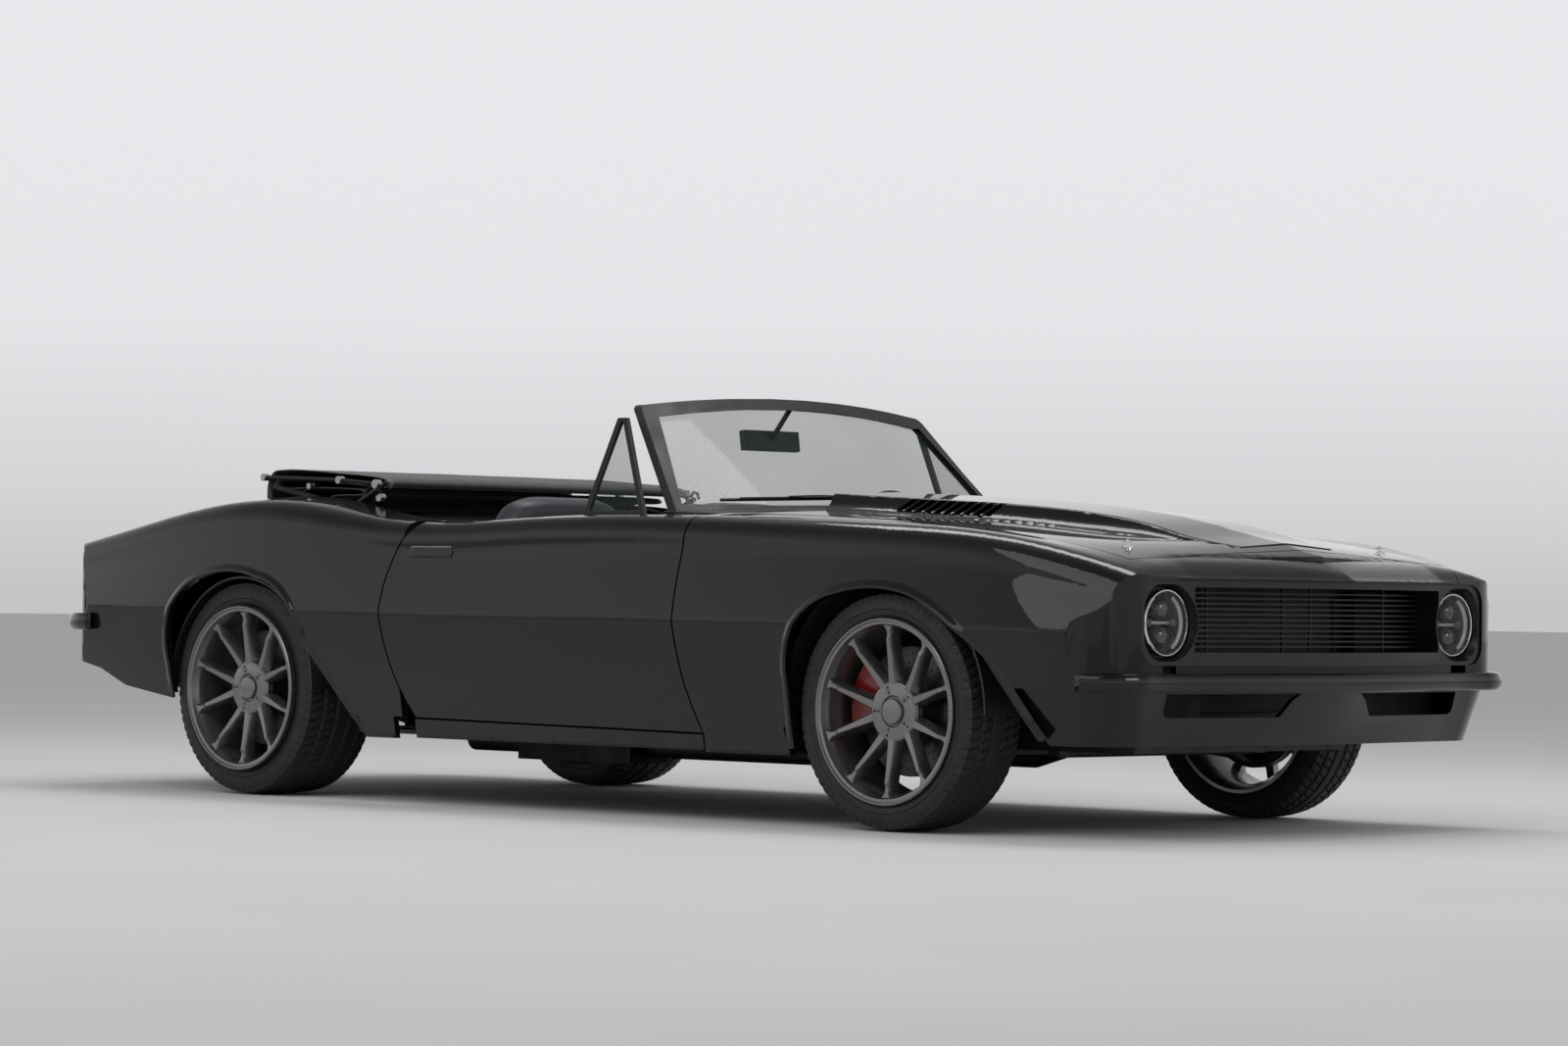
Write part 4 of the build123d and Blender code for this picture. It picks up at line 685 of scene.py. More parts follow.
def glass_material(name, tint, alpha=0.12, facing=0.85):
    """Thin clear sheet: a gloss layer over see-through tint."""
    material, tree, shader = new_material(name)
    tree.links.new(
        mixed_colour(tree, noise(tree, 4, 3), tuple(c * 0.9 for c in tint), tint), shader.inputs["Base Color"])
    tree.links.new(ranged(tree, noise(tree, 6, 4), 0.01, 0.04), shader.inputs["Roughness"])
    layer = tree.nodes.new("ShaderNodeLayerWeight")
    layer.inputs["Blend"].default_value = 0.25
    film = ranged(tree, noise(tree, 3, 4), 0.0, 0.04)
    spread = ranged(tree, layer.outputs["Fresnel"], alpha, facing, 0.0, 1.0)
    tree.links.new(combined(tree, "ADD", spread, film), shader.inputs["Alpha"])
    return material


def leather_material(name, colour, grain=420):
    """Fine pebbled leather with patchy colour and roughness."""
    material, tree, shader = new_material(name)
    cells = tree.nodes.new("ShaderNodeTexVoronoi")
    cells.feature = "DISTANCE_TO_EDGE"
    cells.inputs["Scale"].default_value = grain
    tree.links.new(object_coordinates(tree), cells.inputs["Vector"])
    high = tuple(c * 1.3 for c in colour)
    tree.links.new(mixed_colour(tree, noise(tree, 18, 6), colour, high), shader.inputs["Base Color"])
    tree.links.new(ranged(tree, noise(tree, 30, 5), 0.36, 0.5), shader.inputs["Roughness"])
    bumped(tree, shader, ranged(tree, cells.outputs["Distance"], 0, 1, 0, 0.25), 0.25, 0.0003)
    return material


def cloth_material():
    """Black woven top cloth with a slight sheen."""
    material, tree, shader = new_material("top_canvas")
    bands = []
    for direction in ("X", "Y"):
        weave = tree.nodes.new("ShaderNodeTexWave")
        weave.bands_direction = direction
        weave.inputs["Scale"].default_value = 260
        weave.inputs["Distortion"].default_value = 1.5
        tree.links.new(object_coordinates(tree), weave.inputs["Vector"])
        bands.append(weave.outputs["Fac"])
    tree.links.new(mixed_colour(tree, noise(tree, 9, 6), (0.010, 0.010, 0.011), (0.024, 0.024, 0.025)),
                   shader.inputs["Base Color"])
    tree.links.new(ranged(tree, noise(tree, 20, 4), 0.5, 0.75), shader.inputs["Roughness"])
    shader.inputs["Sheen Weight"].default_value = 0.2
    shader.inputs["Sheen Roughness"].default_value = 0.4
    bumped(tree, shader, combined(tree, "MULTIPLY", *bands), 0.3, 0.0005)
    return material


def rubber_material():
    """Tyre rubber: near black, matt, faintly greyer in patches."""
    material, tree, shader = new_material("tyre_rubber")
    tree.links.new(mixed_colour(tree, noise(tree, 18, 8), (0.010, 0.010, 0.0105), (0.022, 0.0215, 0.021)),
                   shader.inputs["Base Color"])
    tree.links.new(ranged(tree, noise(tree, 40, 5), 0.5, 0.72), shader.inputs["Roughness"])
    shader.inputs["Specular IOR Level"].default_value = 0.35
    bumped(tree, shader, noise(tree, 700, 4), 0.25, 0.0003)
    return material


PAINT = paint_material()
CHASSIS = finish_material("satin_chassis", (0.008, 0.008, 0.009), 0.42, grain=600)
TRIM = finish_material("satin_trim", (0.008, 0.008, 0.0085), 0.34, grain=1400, bump=0.08, specular=0.4)
SCREEN_BLACK = finish_material("satin_screen_frame", (0.005, 0.005, 0.005), 0.5, coat=0.1, coat_roughness=0.2,
                               grain=1600, bump=0.05)
CHROME = finish_material("bright_chrome", (0.72, 0.72, 0.73), 0.08, metallic=1.0, vary=0.04, bump=0.03)
LENS = glass_material("lamp_lens", (0.06, 0.065, 0.07), alpha=0.04, facing=0.35)
SCREEN = glass_material("clear_screen", (0.025, 0.035, 0.033), alpha=0.04, facing=0.35)
PROJECTOR = finish_material("projector_glass", (0.03, 0.035, 0.04), 0.06, coat=1.0, vary=0.3, bump=0.02)
LIT = finish_material("white_light_guide", (0.55, 0.56, 0.59), 0.22, coat=0.8, vary=0.04, bump=0.05)
SILVER = finish_material("lamp_silver", (0.32, 0.33, 0.34), 0.3, metallic=0.9, vary=0.1, bump=0.1)
RED_LENS = finish_material("dark_red_lens", (0.10, 0.003, 0.003), 0.12, coat=1.0, bump=0.05)
RUBBER = rubber_material()
GUNMETAL = finish_material("satin_gunmetal", (0.20, 0.19, 0.19), 0.26, metallic=0.9, coat=0.35,
                           coat_roughness=0.15, grain=1500, bump=0.05, vary=0.08)
BARREL = finish_material("barrel_metal", (0.26, 0.255, 0.255), 0.30, metallic=0.9, coat=0.2, grain=1200, bump=0.06)
DISC = finish_material("turned_steel", (0.075, 0.073, 0.072), 0.36, metallic=1.0, grain=500, bump=0.1)
# Near-black painted shade: for the brake discs' drill holes and vents, the gap round the door handles, the inside of
# the exhaust tips and the space behind the grille, also on the wheel nuts in their pockets
SHADE_BLACK = finish_material("painted_shade_black", (0.004, 0.004, 0.004), 0.7, bump=0.1)
RED = finish_material("gloss_red", (0.16, 0.006, 0.005), 0.3, coat=0.8, grain=700, bump=0.08)
SLATE = leather_material("slate_leather", (0.020, 0.024, 0.029))
DASH = leather_material("dash_leather", (0.010, 0.010, 0.012), 520)
CARPET = finish_material("black_carpet", (0.012, 0.012, 0.013), 0.95, grain=420, bump=1.0, depth=0.003, specular=0.1)
CANVAS = cloth_material()
CANVAS_LINING = finish_material("grey_lining", (0.13, 0.128, 0.122), 0.8, grain=900, bump=0.3, specular=0.2)
LINKAGE = finish_material("linkage_black", (0.02, 0.02, 0.02), 0.32, metallic=0.6, grain=500)
BARE = finish_material("bare_steel", (0.42, 0.41, 0.40), 0.3, metallic=1.0, grain=700, bump=0.1)
DIAL = finish_material("dial_grey", (0.10, 0.10, 0.105), 0.35, coat=0.6, grain=900, bump=0.04)
MATERIALS = {
    "body_paint": PAINT,
    "chassis_black": CHASSIS,
    "trim_black": TRIM,
    "lamp_clear": LENS,
    "lamp_red": RED_LENS,
    "screen_glass": SCREEN,
    "tyre_rubber": RUBBER,
    "rim_gunmetal": GUNMETAL,
    "disc_steel": DISC,
    "caliper_red": RED,
    "seat_leather": SLATE,
    "top_cloth": CANVAS,
    "linkage_metal": LINKAGE,
    "engine_metal": finish_material("cast_engine", (0.06, 0.06, 0.06), 0.55, metallic=0.4, grain=300, bump=0.4),
    "exhaust_steel": finish_material("exhaust_steel", (0.035, 0.033, 0.031), 0.5, metallic=0.9, patch=9),
    "mirror_glass": finish_material("mirror_shell", (0.012, 0.012, 0.012), 0.3, grain=1200, bump=0.1),
    "dash_black": DASH,
    "radiator_alloy": finish_material("radiator_core", (0.05, 0.05, 0.05), 0.5, metallic=0.7, grain=400, bump=0.5),
}


def dress_nodes():
    """Every CAD node gets its slot's finish."""
    for node in NODES.values():
        slot = node.data.materials[0].name.split(".")[0] if node.data.materials else ""
        node.data.materials.clear()
        node.data.materials.append(MATERIALS.get(slot, CHASSIS))


dress_nodes()


# Painted panels

PAINTED = [
    "fender_left", "fender_right", "door_left", "door_right", "rockers", "rear_body", "trunk_lid", "hood",
    "header_panel",
]
for panel_name in PAINTED:
    panel = body_panel(panel_name)
    panel.data.materials.append(PAINT)
    stand_in(panel, panel_name)


def dressed(node, width, material, dissolve=1.5, angle=35.0, segments=2):
    """A CAD node's form with its flat facets joined and its edges rounded."""
    bm = welded_copy(node)
    bmesh.ops.dissolve_limit(
        bm, angle_limit=math.radians(dissolve), verts=bm.verts, edges=bm.edges, use_dissolve_boundaries=False)
    sharpen(bm, math.radians(angle))
    piece = add_bmesh(node + "_dressed", bm)
    piece.data.materials.append(material)
    bevel(piece, width, segments, angle)
    return stand_in(piece, node)


dressed("front_bumper", 0.002, PAINT, dissolve=0.5)
dressed("rear_bumper", 0.002, PAINT, dissolve=0.5)
dressed("front_valance", 0.003, PAINT)
dressed("grille", 0.0012, TRIM)
dressed("windscreen_frame", 0.003, SCREEN_BLACK)


# Wheels

SPOKE_PAIRS = 5
RIM_LIP = 0.2555
BEAD = 0.242
BARREL_INNER = 0.226
HUB = 0.078
HUB_SET_IN = 0.042
BOLT_COUNT = 5
BOLT_CIRCLE = 0.0603


def wheel_place(axle):
    return WHEELS[axle][4], WHEELS[axle][0]


def spoke_face_height(radius, lip):
    """Distance out from the centreline of the spokes' front at a radius: a shallow cone with a stepped foot."""
    if radius < HUB:
        return lip - HUB_SET_IN
    share = (radius - HUB) / (BARREL_INNER + 0.006 - HUB)
    step = 0.007 * min(max((radius - 0.196) / 0.010, 0), 1)
    return lip - HUB_SET_IN + 0.032 * share**1.25 - step


def spoke_back_height(radius, lip):
    table = ((0.0, 0.066), (0.086, 0.066), (0.118, 0.070), (0.240, 0.050))
    for (r0, d0), (r1, d1) in zip(table, table[1:]):
        if radius <= r1:
            return lip - d0 - (d1 - d0) * (radius - r0) / (r1 - r0)
    return lip - table[-1][1]


def spoke(name, axle, side, middle, lean):
    """One tapering spoke with leaning sides and a stepped foot, one of a V pair."""
    x0, z0 = wheel_place(axle)
    lip = WHEELS[axle][3]
    hub_turn, rim_turn = math.radians(middle + lean * 8.5), math.radians(middle + lean * 18)
    start = np.array((0.050 * math.cos(hub_turn), 0.050 * math.sin(hub_turn)))
    end = np.array(((BARREL_INNER + 0.007) * math.cos(rim_turn), (BARREL_INNER + 0.007) * math.sin(rim_turn)))
    along = (end - start) / np.linalg.norm(end - start)
    across = np.array((-along[1], along[0]))
    rings = []
    for i in range(25):
        share = i / 24
        middle_point = start + (end - start) * share
        radius = float(np.linalg.norm(middle_point))
        half = 0.0205 - 0.0085 * min(share / 0.75, 1)
        flare = 0.010 * max((share - 0.90) / 0.10, 0)**2
        top_half, low_half = half * 0.72 + flare, half * 1.15 + flare
        top, low = spoke_face_height(radius, lip), spoke_back_height(radius, lip)
        edge = 0.0035
        section = [(-low_half, low), (-top_half - 0.001, top - 2.2 * edge), (-top_half + edge, top),
                   (top_half - edge, top), (top_half + 0.001, top - 2.2 * edge), (low_half, low)]
        ring = []
        for offset, height in section:
            place = middle_point + across * offset
            ring.append((x0 + place[0], side * height, z0 + place[1]))
        rings.append(ring)
    piece = ring_sweep(name, rings, caps=True)
    outward(piece)
    return piece


def bolt_ring(name, axis, side, out, segments, radii, depth):
    """One short cone at each of a wheel's bolts, its axis along the wheel's."""
    x0, z0 = axis
    cones = []
    for i in range(BOLT_COUNT):
        turn = math.pi + 2 * math.pi * i / BOLT_COUNT
        bm = bmesh.new()
        bmesh.ops.create_cone(
            bm, cap_ends=True, segments=segments, radius1=radii[0], radius2=radii[1], depth=depth)
        bmesh.ops.rotate(bm, verts=bm.verts, matrix=Matrix.Rotation(-side * math.pi / 2, 3, "X"))
        place = (x0 + BOLT_CIRCLE * math.cos(turn), side * out, z0 + BOLT_CIRCLE * math.sin(turn))
        bmesh.ops.translate(bm, verts=bm.verts, vec=place)
        cones.append(add_bmesh("cone", bm))
    return joined(name, cones)


def hub_face(name, axle, side):
    """Hub of a wheel with recessed bolt pockets and a plain cap."""
    x0, z0 = wheel_place(axle)
    lip = WHEELS[axle][3]
    face = lip - HUB_SET_IN
    profile = [
        (0.0005, lip - 0.064), (HUB + 0.006, lip - 0.064), (HUB + 0.008, face - 0.010), (HUB + 0.003, face - 0.002),
        (HUB - 0.002, face), (0.044, face + 0.001), (0.040, face - 0.004), (0.0365, face - 0.004),
        (0.0355, face + 0.004), (0.033, face + 0.0075), (0.018, face + 0.0095), (0.0005, face + 0.010),
    ]
    hub = revolved(name, profile, (x0, z0), side)
    cut_out(hub, bolt_ring("pockets", (x0, z0), side, face - 0.003, 32, (0.0105, 0.0125), 0.030))
    return hub, bolt_ring(name + "_nuts", (x0, z0), side, face - 0.012, 6, (0.0088, 0.0080), 0.012)


def rim_profile(axle):
    _, inner, outer, lip, _ = WHEELS[axle]
    back = min(inner + 0.006, lip - 0.200)
    return [
        (RIM_LIP - 0.003, lip), (RIM_LIP, lip - 0.003), (RIM_LIP, outer - 0.003), (BEAD, outer - 0.016),
        (BEAD - 0.004, back + 0.024), (BEAD, back + 0.007), (RIM_LIP - 0.004, back), (RIM_LIP - 0.014, back),
        (BARREL_INNER, back + 0.024), (BARREL_INNER, lip - 0.034), (BARREL_INNER + 0.004, lip - 0.026),
        (RIM_LIP - 0.018, lip - 0.006), (RIM_LIP - 0.010, lip - 0.004), (RIM_LIP - 0.008, lip),
    ]


def add_rim(axle, name):
    side = SIDES[name]
    node = f"rim_{axle}_{name}"
    barrel = revolved(node + "_barrel", rim_profile(axle), wheel_place(axle), side, 144)
    sharpen_piece(barrel, 0.6)
    barrel.data.materials.append(BARREL)
    barrel.data.materials.append(GUNMETAL)
    _, _, _, lip, _ = WHEELS[axle]
    for face in barrel.data.polygons:
        face.material_index = int(abs(face.center[1]) > lip - 0.036)
    spokes = []
    for pair in range(SPOKE_PAIRS):
        middle = 180 + pair * 360 / SPOKE_PAIRS
        for lean in (-1, 1):
            spokes.append(spoke("spoke", axle, side, middle, lean))
    hub, nuts = hub_face(node + "_hub", axle, side)
    star = joined(node + "_star", spokes + [hub])
    sharpen_piece(star, 0.45)
    star.data.materials.append(GUNMETAL)
    bevel(star, 0.0012, 2, 28)
    sharpen_piece(nuts, 0.5)
    # The nuts are near-black, partly painted shade for the deep pockets they sit in
    extra(nuts, body_of(node), SHADE_BLACK)
    stand_in(barrel, node)
    extra(star, body_of(node), GUNMETAL)


def tread_depth(across, turn, half):
    """How far the tread is cut at a place: four grooves round the tyre, slanted slots and shoulder slots."""
    share = across / half
    depth = 0.0
    for groove in (-0.62, -0.21, 0.21, 0.62):
        gap = abs(share - groove) * half
        depth = max(depth, 0.0065 * min(max((0.0052 - gap) / 0.0016, 0), 1))
    slots = 72
    lean = 0.9 * abs(share) * (1 if share > 0 else -1)
    phase = (turn * slots / (2 * math.pi) + lean * 1.6) % 1.0
    if 0.24 < abs(share) < 0.60 and phase < 0.20:
        depth = max(depth, 0.0045)
    if abs(share) > 0.66 and (phase + 0.3) % 1.0 < 0.24:
        depth = max(depth, 0.0055)
    return depth


def add_tyre(axle, name):
    """A tyre with cut tread, blocky shoulders and ribbed sides, inside its CAD outline."""
    side = SIDES[name]
    node = f"tyre_{axle}_{name}"
    radius, inner, outer, _, _ = WHEELS[axle]
    x0, z0 = wheel_place(axle)
    middle = (inner + outer) / 2
    half = (outer - inner) / 2 - 0.012
    across = [half * (j / 22 - 1) for j in range(45)]
    steps = 432
    flank = [
        (BEAD + 0.0008, 0.016), (BEAD + 0.006, 0.0105), (BEAD + 0.011, 0.0088), (BEAD + 0.0125, 0.0112),
        (BEAD + 0.015, 0.0085), (BEAD + 0.024, 0.0042), (BEAD + 0.034, 0.0022), (BEAD + 0.0355, 0.0042),
        (BEAD + 0.037, 0.0022), (radius - 0.034, 0.0020), (radius - 0.031, 0.0032), (radius - 0.026, 0.0034),
        (radius - 0.020, 0.0056), (radius - 0.013, 0.0076), (radius - 0.008, 0.0095),
    ]
    rings = []
    for i in range(steps):
        turn = 2 * math.pi * i / steps
        ring = []
        shoulder = tread_depth(half, turn, half)
        for index, (r, set_in) in enumerate(flank):
            depth = shoulder * 0.55 if index >= 12 else 0.0
            ring.append((r, outer - set_in - depth))
        for a in reversed(across):
            crown = 0.0065 * (abs(a) / half)**3
            ring.append((radius - 0.0004 - crown - tread_depth(a, turn, half), middle + a))
        for index, (r, set_in) in reversed(list(enumerate(flank))):
            depth = shoulder * 0.55 if index >= 12 else 0.0
            ring.append((r, inner + set_in + depth))
        c, s = math.cos(turn), math.sin(turn)
        rings.append([(x0 + r * c, side * y, z0 + r * s) for r, y in ring])
    piece = ring_sweep(node + "_tread", rings, closed_path=True)
    outward(piece)
    sharpen_piece(piece, 0.55)
    piece.data.materials.append(RUBBER)
    stand_in(piece, node)


def add_disc(axle, name):
    """A drilled, vented brake disc: two faces, a row of vanes between and its hat, with its holes and vanes in
    painted shade.
    """
    side = SIDES[name]
    node = f"brake_disc_{axle}_{name}"
    lip = WHEELS[axle][3]
    x0, z0 = wheel_place(axle)
    hub = lip - 0.0663
    face, back = hub - 0.045, hub - 0.077
    profile = [
        (0.001, hub), (0.078, hub), (0.082, hub - 0.004), (0.082, face), (0.100, face - 0.0005), (0.102, face),
        (0.176, face), (0.178, face - 0.001), (0.178, face - 0.011), (0.170, face - 0.011), (0.170, back + 0.011),
        (0.178, back + 0.011), (0.178, back + 0.001), (0.176, back), (0.001, back),
    ]
    disc = revolved(node + "_turned", profile, (x0, z0), side, 120)
    sharpen_piece(disc, 0.6)
    disc.data.materials.append(DISC)
    stand_in(disc, node)
    # Painted shade in the drill holes: thin near-black discs laid on the disc's face
    bm = bmesh.new()
    for i in range(48):
        for j in range(3):
            turn = 2 * math.pi * (i + 0.36 * j) / 48
            radius = 0.112 + 0.021 * j + 0.004 * (i % 2)
            out = bmesh.ops.create_cone(bm, cap_ends=True, segments=10, radius1=0.0032, radius2=0.0032, depth=0.0006)
            bmesh.ops.rotate(bm, verts=out["verts"], matrix=Matrix.Rotation(math.pi / 2, 3, "X"))
            place = (x0 + radius * math.cos(turn), side * face, z0 + radius * math.sin(turn))
            bmesh.ops.translate(bm, verts=out["verts"], vec=place)
    # The vanes in the vent are near-black, painted shade between the two faces
    for i in range(60):
        turn = 2 * math.pi * i / 60
        out = bmesh.ops.create_cube(bm, size=1.0)
        for vertex in out["verts"]:
            vertex.co = Vector((vertex.co[0] * 0.006, vertex.co[1] * 0.011, vertex.co[2] * 0.0025))
        bmesh.ops.rotate(bm, verts=out["verts"], matrix=Matrix.Rotation(-turn, 3, "Y"))
        place = (x0 + 0.1735 * math.cos(turn), side * (face + back) / 2, z0 + 0.1735 * math.sin(turn))
        bmesh.ops.translate(bm, verts=out["verts"], vec=place)
    hole_and_vane_shade = add_bmesh(node + "_drillings", bm)
    extra(hole_and_vane_shade, body_of(node), SHADE_BLACK)


for axle_name in WHEELS:
    for side_name in SIDES:
        add_rim(axle_name, side_name)
        add_tyre(axle_name, side_name)
        add_disc(axle_name, side_name)
for side_name in SIDES:
    dressed("caliper_" + side_name, 0.003, RED)


# Arch lips

def chain(pieces, step=0.010):
    """Evenly spaced points along straight runs and arcs, each given by two or three points."""
    points = []
    for piece in pieces:
        if len(piece) == 2:
            points.append(line_points(piece[0], piece[1], 40))
        else:
            points.append(arc_points(piece[0], piece[1], piece[2], 40))
    points.append(np.array([pieces[-1][-1]]))
    points = np.vstack(points)
    along = np.concatenate([[0], np.cumsum(np.linalg.norm(np.diff(points, axis=0), axis=1))])
    at = np.linspace(0, along[-1], int(along[-1] / step))
    return np.stack([np.interp(at, along, points[:, k]) for k in (0, 1)], axis=1)


# Wheel openings in side view. Each x is a distance ahead of the axle.
# columns: top z, rear x, corner x, front x, foot x, crown x, shoulder z, rear foot z, front foot z
ARCHES = {
    "front": (0.660, -0.340, -0.166, 0.394, 0.673, -0.022, 0.482, 0.215, 0.262),
    "rear": (0.692, -0.326, -0.150, 0.336, 0.680, -0.020, 0.484, 0.310, 0.215),
}


def arch_curve(axle):
    """The wheel opening in side view, from its rear foot over the top to its front foot."""
    x = WHEELS[axle][4]
    top, *across, shoulder, low_rear, low_front = ARCHES[axle]
    rear, corner, front, foot, crown = (x + offset for offset in across)
    lean = (foot - front) / (0.100 - shoulder)
    return chain([
        ((rear, low_rear), (rear, 0.400)),
        ((rear, 0.400), (rear + 0.058, top - 0.080), (corner, top - 0.018)),
        ((corner, top - 0.018), (crown, top), (x + 0.120, top - 0.020)),
        ((x + 0.120, top - 0.020), (x + 0.268, top - 0.092), (front, shoulder)),
        ((front, shoulder), (front + lean * (low_front - shoulder), low_front)),
    ])


# Section of an arch lip
# columns: distance out from the edge of the opening, height off the skin
LIP_SECTION = [
    (0.0260, -0.0008), (0.0215, 0.0006), (0.0165, 0.0026), (0.0115, 0.0050), (0.0070, 0.0068), (0.0030, 0.0070),
    (0.0002, 0.0052), (-0.0012, 0.0018), (-0.0012, -0.0040), (-0.0012, -0.0200), (0.0010, -0.0200),
]


SIDE_POINTS = HULL[1][HULL[1][:, 2] < 0.80]
SIDE_POINTS = SIDE_POINTS[SIDE_POINTS[:, 1] > 0.70]


def side_point(x, z):
    """A point on the body's left side at a place in side view, drawn from the four hull points round it."""
    gaps = np.hypot(SIDE_POINTS[:, 0] - x, SIDE_POINTS[:, 2] - z)
    near = np.argsort(gaps)[:4]
    weight = 1 / (gaps[near] + 1e-4)
    return (x, float((SIDE_POINTS[near, 1] * weight).sum() / weight.sum()), z)


def arch_lip(axle, side):
    """Softly rolled lip round a wheel opening."""
    curve = arch_curve(axle)
    rings = []
    for i, (x, z) in enumerate(curve):
        ahead = curve[min(i + 2, len(curve) - 1)] - curve[max(i - 2, 0)]
        ahead /= np.linalg.norm(ahead)
        out = np.array((-ahead[1], ahead[0]))
        fade = min(1.0, i / 6, (len(curve) - 1 - i) / 6)
        ring = []
        for reach, lift in LIP_SECTION:
            px, pz = x + out[0] * reach, z + out[1] * reach
            skin, _, _ = nearest_on(HULL, side_point(px, pz))
            ring.append((px, side * (abs(skin[1]) + lift * (fade if lift > 0 else 1)), pz))
        rings.append(ring)
    piece = ring_sweep("lip", rings, caps=True)
    outward(piece)
    sharpen_piece(piece, 0.7)
    return piece


for axle_name in WHEELS:
    for side_name, sign in SIDES.items():
        lip = arch_lip(axle_name, sign)
        lip.name = f"arch_lip_{axle_name}_{side_name}"
        extra(lip, "root", PAINT)


# Lamps

LAMP_X = 2.214
LAMP_Y = 0.625
LAMP_Z = 0.577
LAMP_RADIUS = 0.089
LAMP_DOME = 0.018
PROJECTORS = [(0.0, 0.036, 0.0255), (0.0, -0.036, 0.0255), (0.050, 0.0, 0.0095), (-0.050, 0.0, 0.0095)]


def lamp_turned(name, profile, side, place=(0.0, 0.0), steps=72):
    """A form turned about a lamp's axis, or about a line beside it."""
    across, up = place
    piece = turned_ahead(name, profile, (LAMP_X, side * LAMP_Y + across, LAMP_Z + up), 1, steps)
    sharpen_piece(piece, 0.6)
    return piece


def gathered(name, pieces):
    """One object from several, each keeping its own finish."""
    materials = []
    bm = bmesh.new()
    for piece in pieces:
        finish = piece.data.materials[0]
        if finish not in materials:
            materials.append(finish)
        index = materials.index(finish)
        before = len(bm.faces)
        bm.from_mesh(piece.data)
        bm.faces.ensure_lookup_table()
        for face in bm.faces[before:]:
            face.material_index = index
        bpy.data.objects.remove(piece)
    whole = add_bmesh(name, bm)
    for finish in materials:
        whole.data.materials.append(finish)
    return whole


def light_guide(side, flip):
    """One bright crescent at the edge of a lamp."""
    rings = []
    for i in range(33):
        turn = math.radians(-62 + 124 * i / 32)
        width = 0.0125 * math.cos(turn * 0.9)**0.6
        ring = []
        for r, h in ((0.0800, -0.020), (0.0800 - width, -0.020), (0.0800 - width, -0.014), (0.0800, -0.012)):
            ring.append((LAMP_X + h, side * LAMP_Y + flip * r * math.cos(turn), LAMP_Z + r * math.sin(turn)))
        rings.append(ring)
    piece = ring_sweep("guide", rings, caps=True)
    outward(piece)
    return with_material(piece, LIT)


def lamp_body(side):
    edge = LAMP_RADIUS
    parts = [
        with_material(lamp_turned("ring", [
            (edge, -0.030), (edge, -0.004), (edge - 0.002, -0.0015), (edge - 0.005, -0.0015), (edge - 0.0065, -0.004),
            (edge - 0.0065, -0.030)], side), CHROME),
        with_material(lamp_turned("bowl", [
            (edge - 0.001, -0.030), (edge - 0.007, -0.0295), (edge - 0.0075, -0.0075), (edge - 0.010, -0.022),
            (edge - 0.022, -0.026), (edge - 0.026, -0.046), (0.0005, -0.050), (0.0005, -0.060),
            (edge - 0.001, -0.060)], side), TRIM),
    ]
    for flip in (-1, 1):
        parts.append(light_guide(side, flip))
    for across, up, radius in PROJECTORS:
        dome = [(radius * math.cos(a), -0.024 + radius * 0.62 * math.sin(a)) for a in np.linspace(0, 1.5, 9)]
        dome = [(radius, -0.046)] + dome + [(0.0004, -0.024 + radius * 0.62), (0.0004, -0.046)]
        parts.append(with_material(lamp_turned("eye", dome, side, (across, up), 40), PROJECTOR))
        collar = [(radius + 0.0035, -0.046), (radius + 0.0035, -0.024), (radius + 0.002, -0.021),
                  (radius + 0.0006, -0.023), (radius + 0.0006, -0.046)]
        parts.append(with_material(lamp_turned("collar", collar, side, (across, up), 40), SILVER))
    low = (LAMP_X - 0.046, side * LAMP_Y - 0.058, LAMP_Z - 0.0045)
    high = (LAMP_X - 0.024, side * LAMP_Y + 0.058, LAMP_Z + 0.0045)
    parts.append(with_material(block("bridge", low, high, 0.001), SILVER))
    return parts


def lamp_lens(side):
    curve = (LAMP_RADIUS**2 + LAMP_DOME**2) / (2 * LAMP_DOME)
    reach = LAMP_RADIUS - 0.0068
    profile = []
    for r in np.linspace(reach, 0.0004, 14):
        profile.append((r, math.sqrt(curve**2 - r**2) - curve + LAMP_DOME - 0.003))
    profile += [(r, h - 0.0025) for r, h in reversed(profile)]
    return lamp_turned("lens", profile, side, steps=96)


lamps = gathered("headlamp_bodies", lamp_body(-1) + lamp_body(1))
stand_in(lamps, "headlamps")
lenses = joined("headlamp_lenses", [lamp_lens(-1), lamp_lens(1)])
extra(lenses, "root", LENS)


def split_pieces(node, finishes, width):
    """A CAD node's solids, largest first, each with its own finish and rounded edges."""
    bm = welded_copy(node)
    parts = loose_parts(bm)
    for index, part in enumerate(parts):
        for face in part:
            face.material_index = min(index, len(finishes) - 1)
    bmesh.ops.dissolve_limit(bm, angle_limit=0.02, verts=bm.verts, edges=bm.edges, delimit={"MATERIAL"})
    sharpen(bm, 0.6)
    piece = add_bmesh(node + "_dressed", bm)
    for finish in finishes:
        piece.data.materials.append(finish)
    bevel(piece, width, 2, 35)
    return stand_in(piece, node)


for side_name in SIDES:
    split_pieces("vent_window_" + side_name, [TRIM, SCREEN], 0.0018)
dressed("tail_lamps", 0.004, RED_LENS)
for sign in (-1, 1):
    bezel = []
    y0, y1, z0, z1 = sign * 0.476, sign * 0.724, 0.610, 0.694
    for a, b, low, high in ((y0, y1, z1 - 0.004, z1 + 0.005), (y0, y1, z0 - 0.005, z0 + 0.004)):
        bezel.append(block("bar", (-2.296, min(a, b), low), (-2.262, max(a, b), high), 0.002))
    middle = sign * 0.600
    bezel.append(block("bar", (-2.2905, middle - 0.004, z0), (-2.262, middle + 0.004, z1), 0.002))
    extra(joined(f"tail_lamp_bezel_{'left' if sign > 0 else 'right'}", bezel), "root", TRIM)


# Cabin

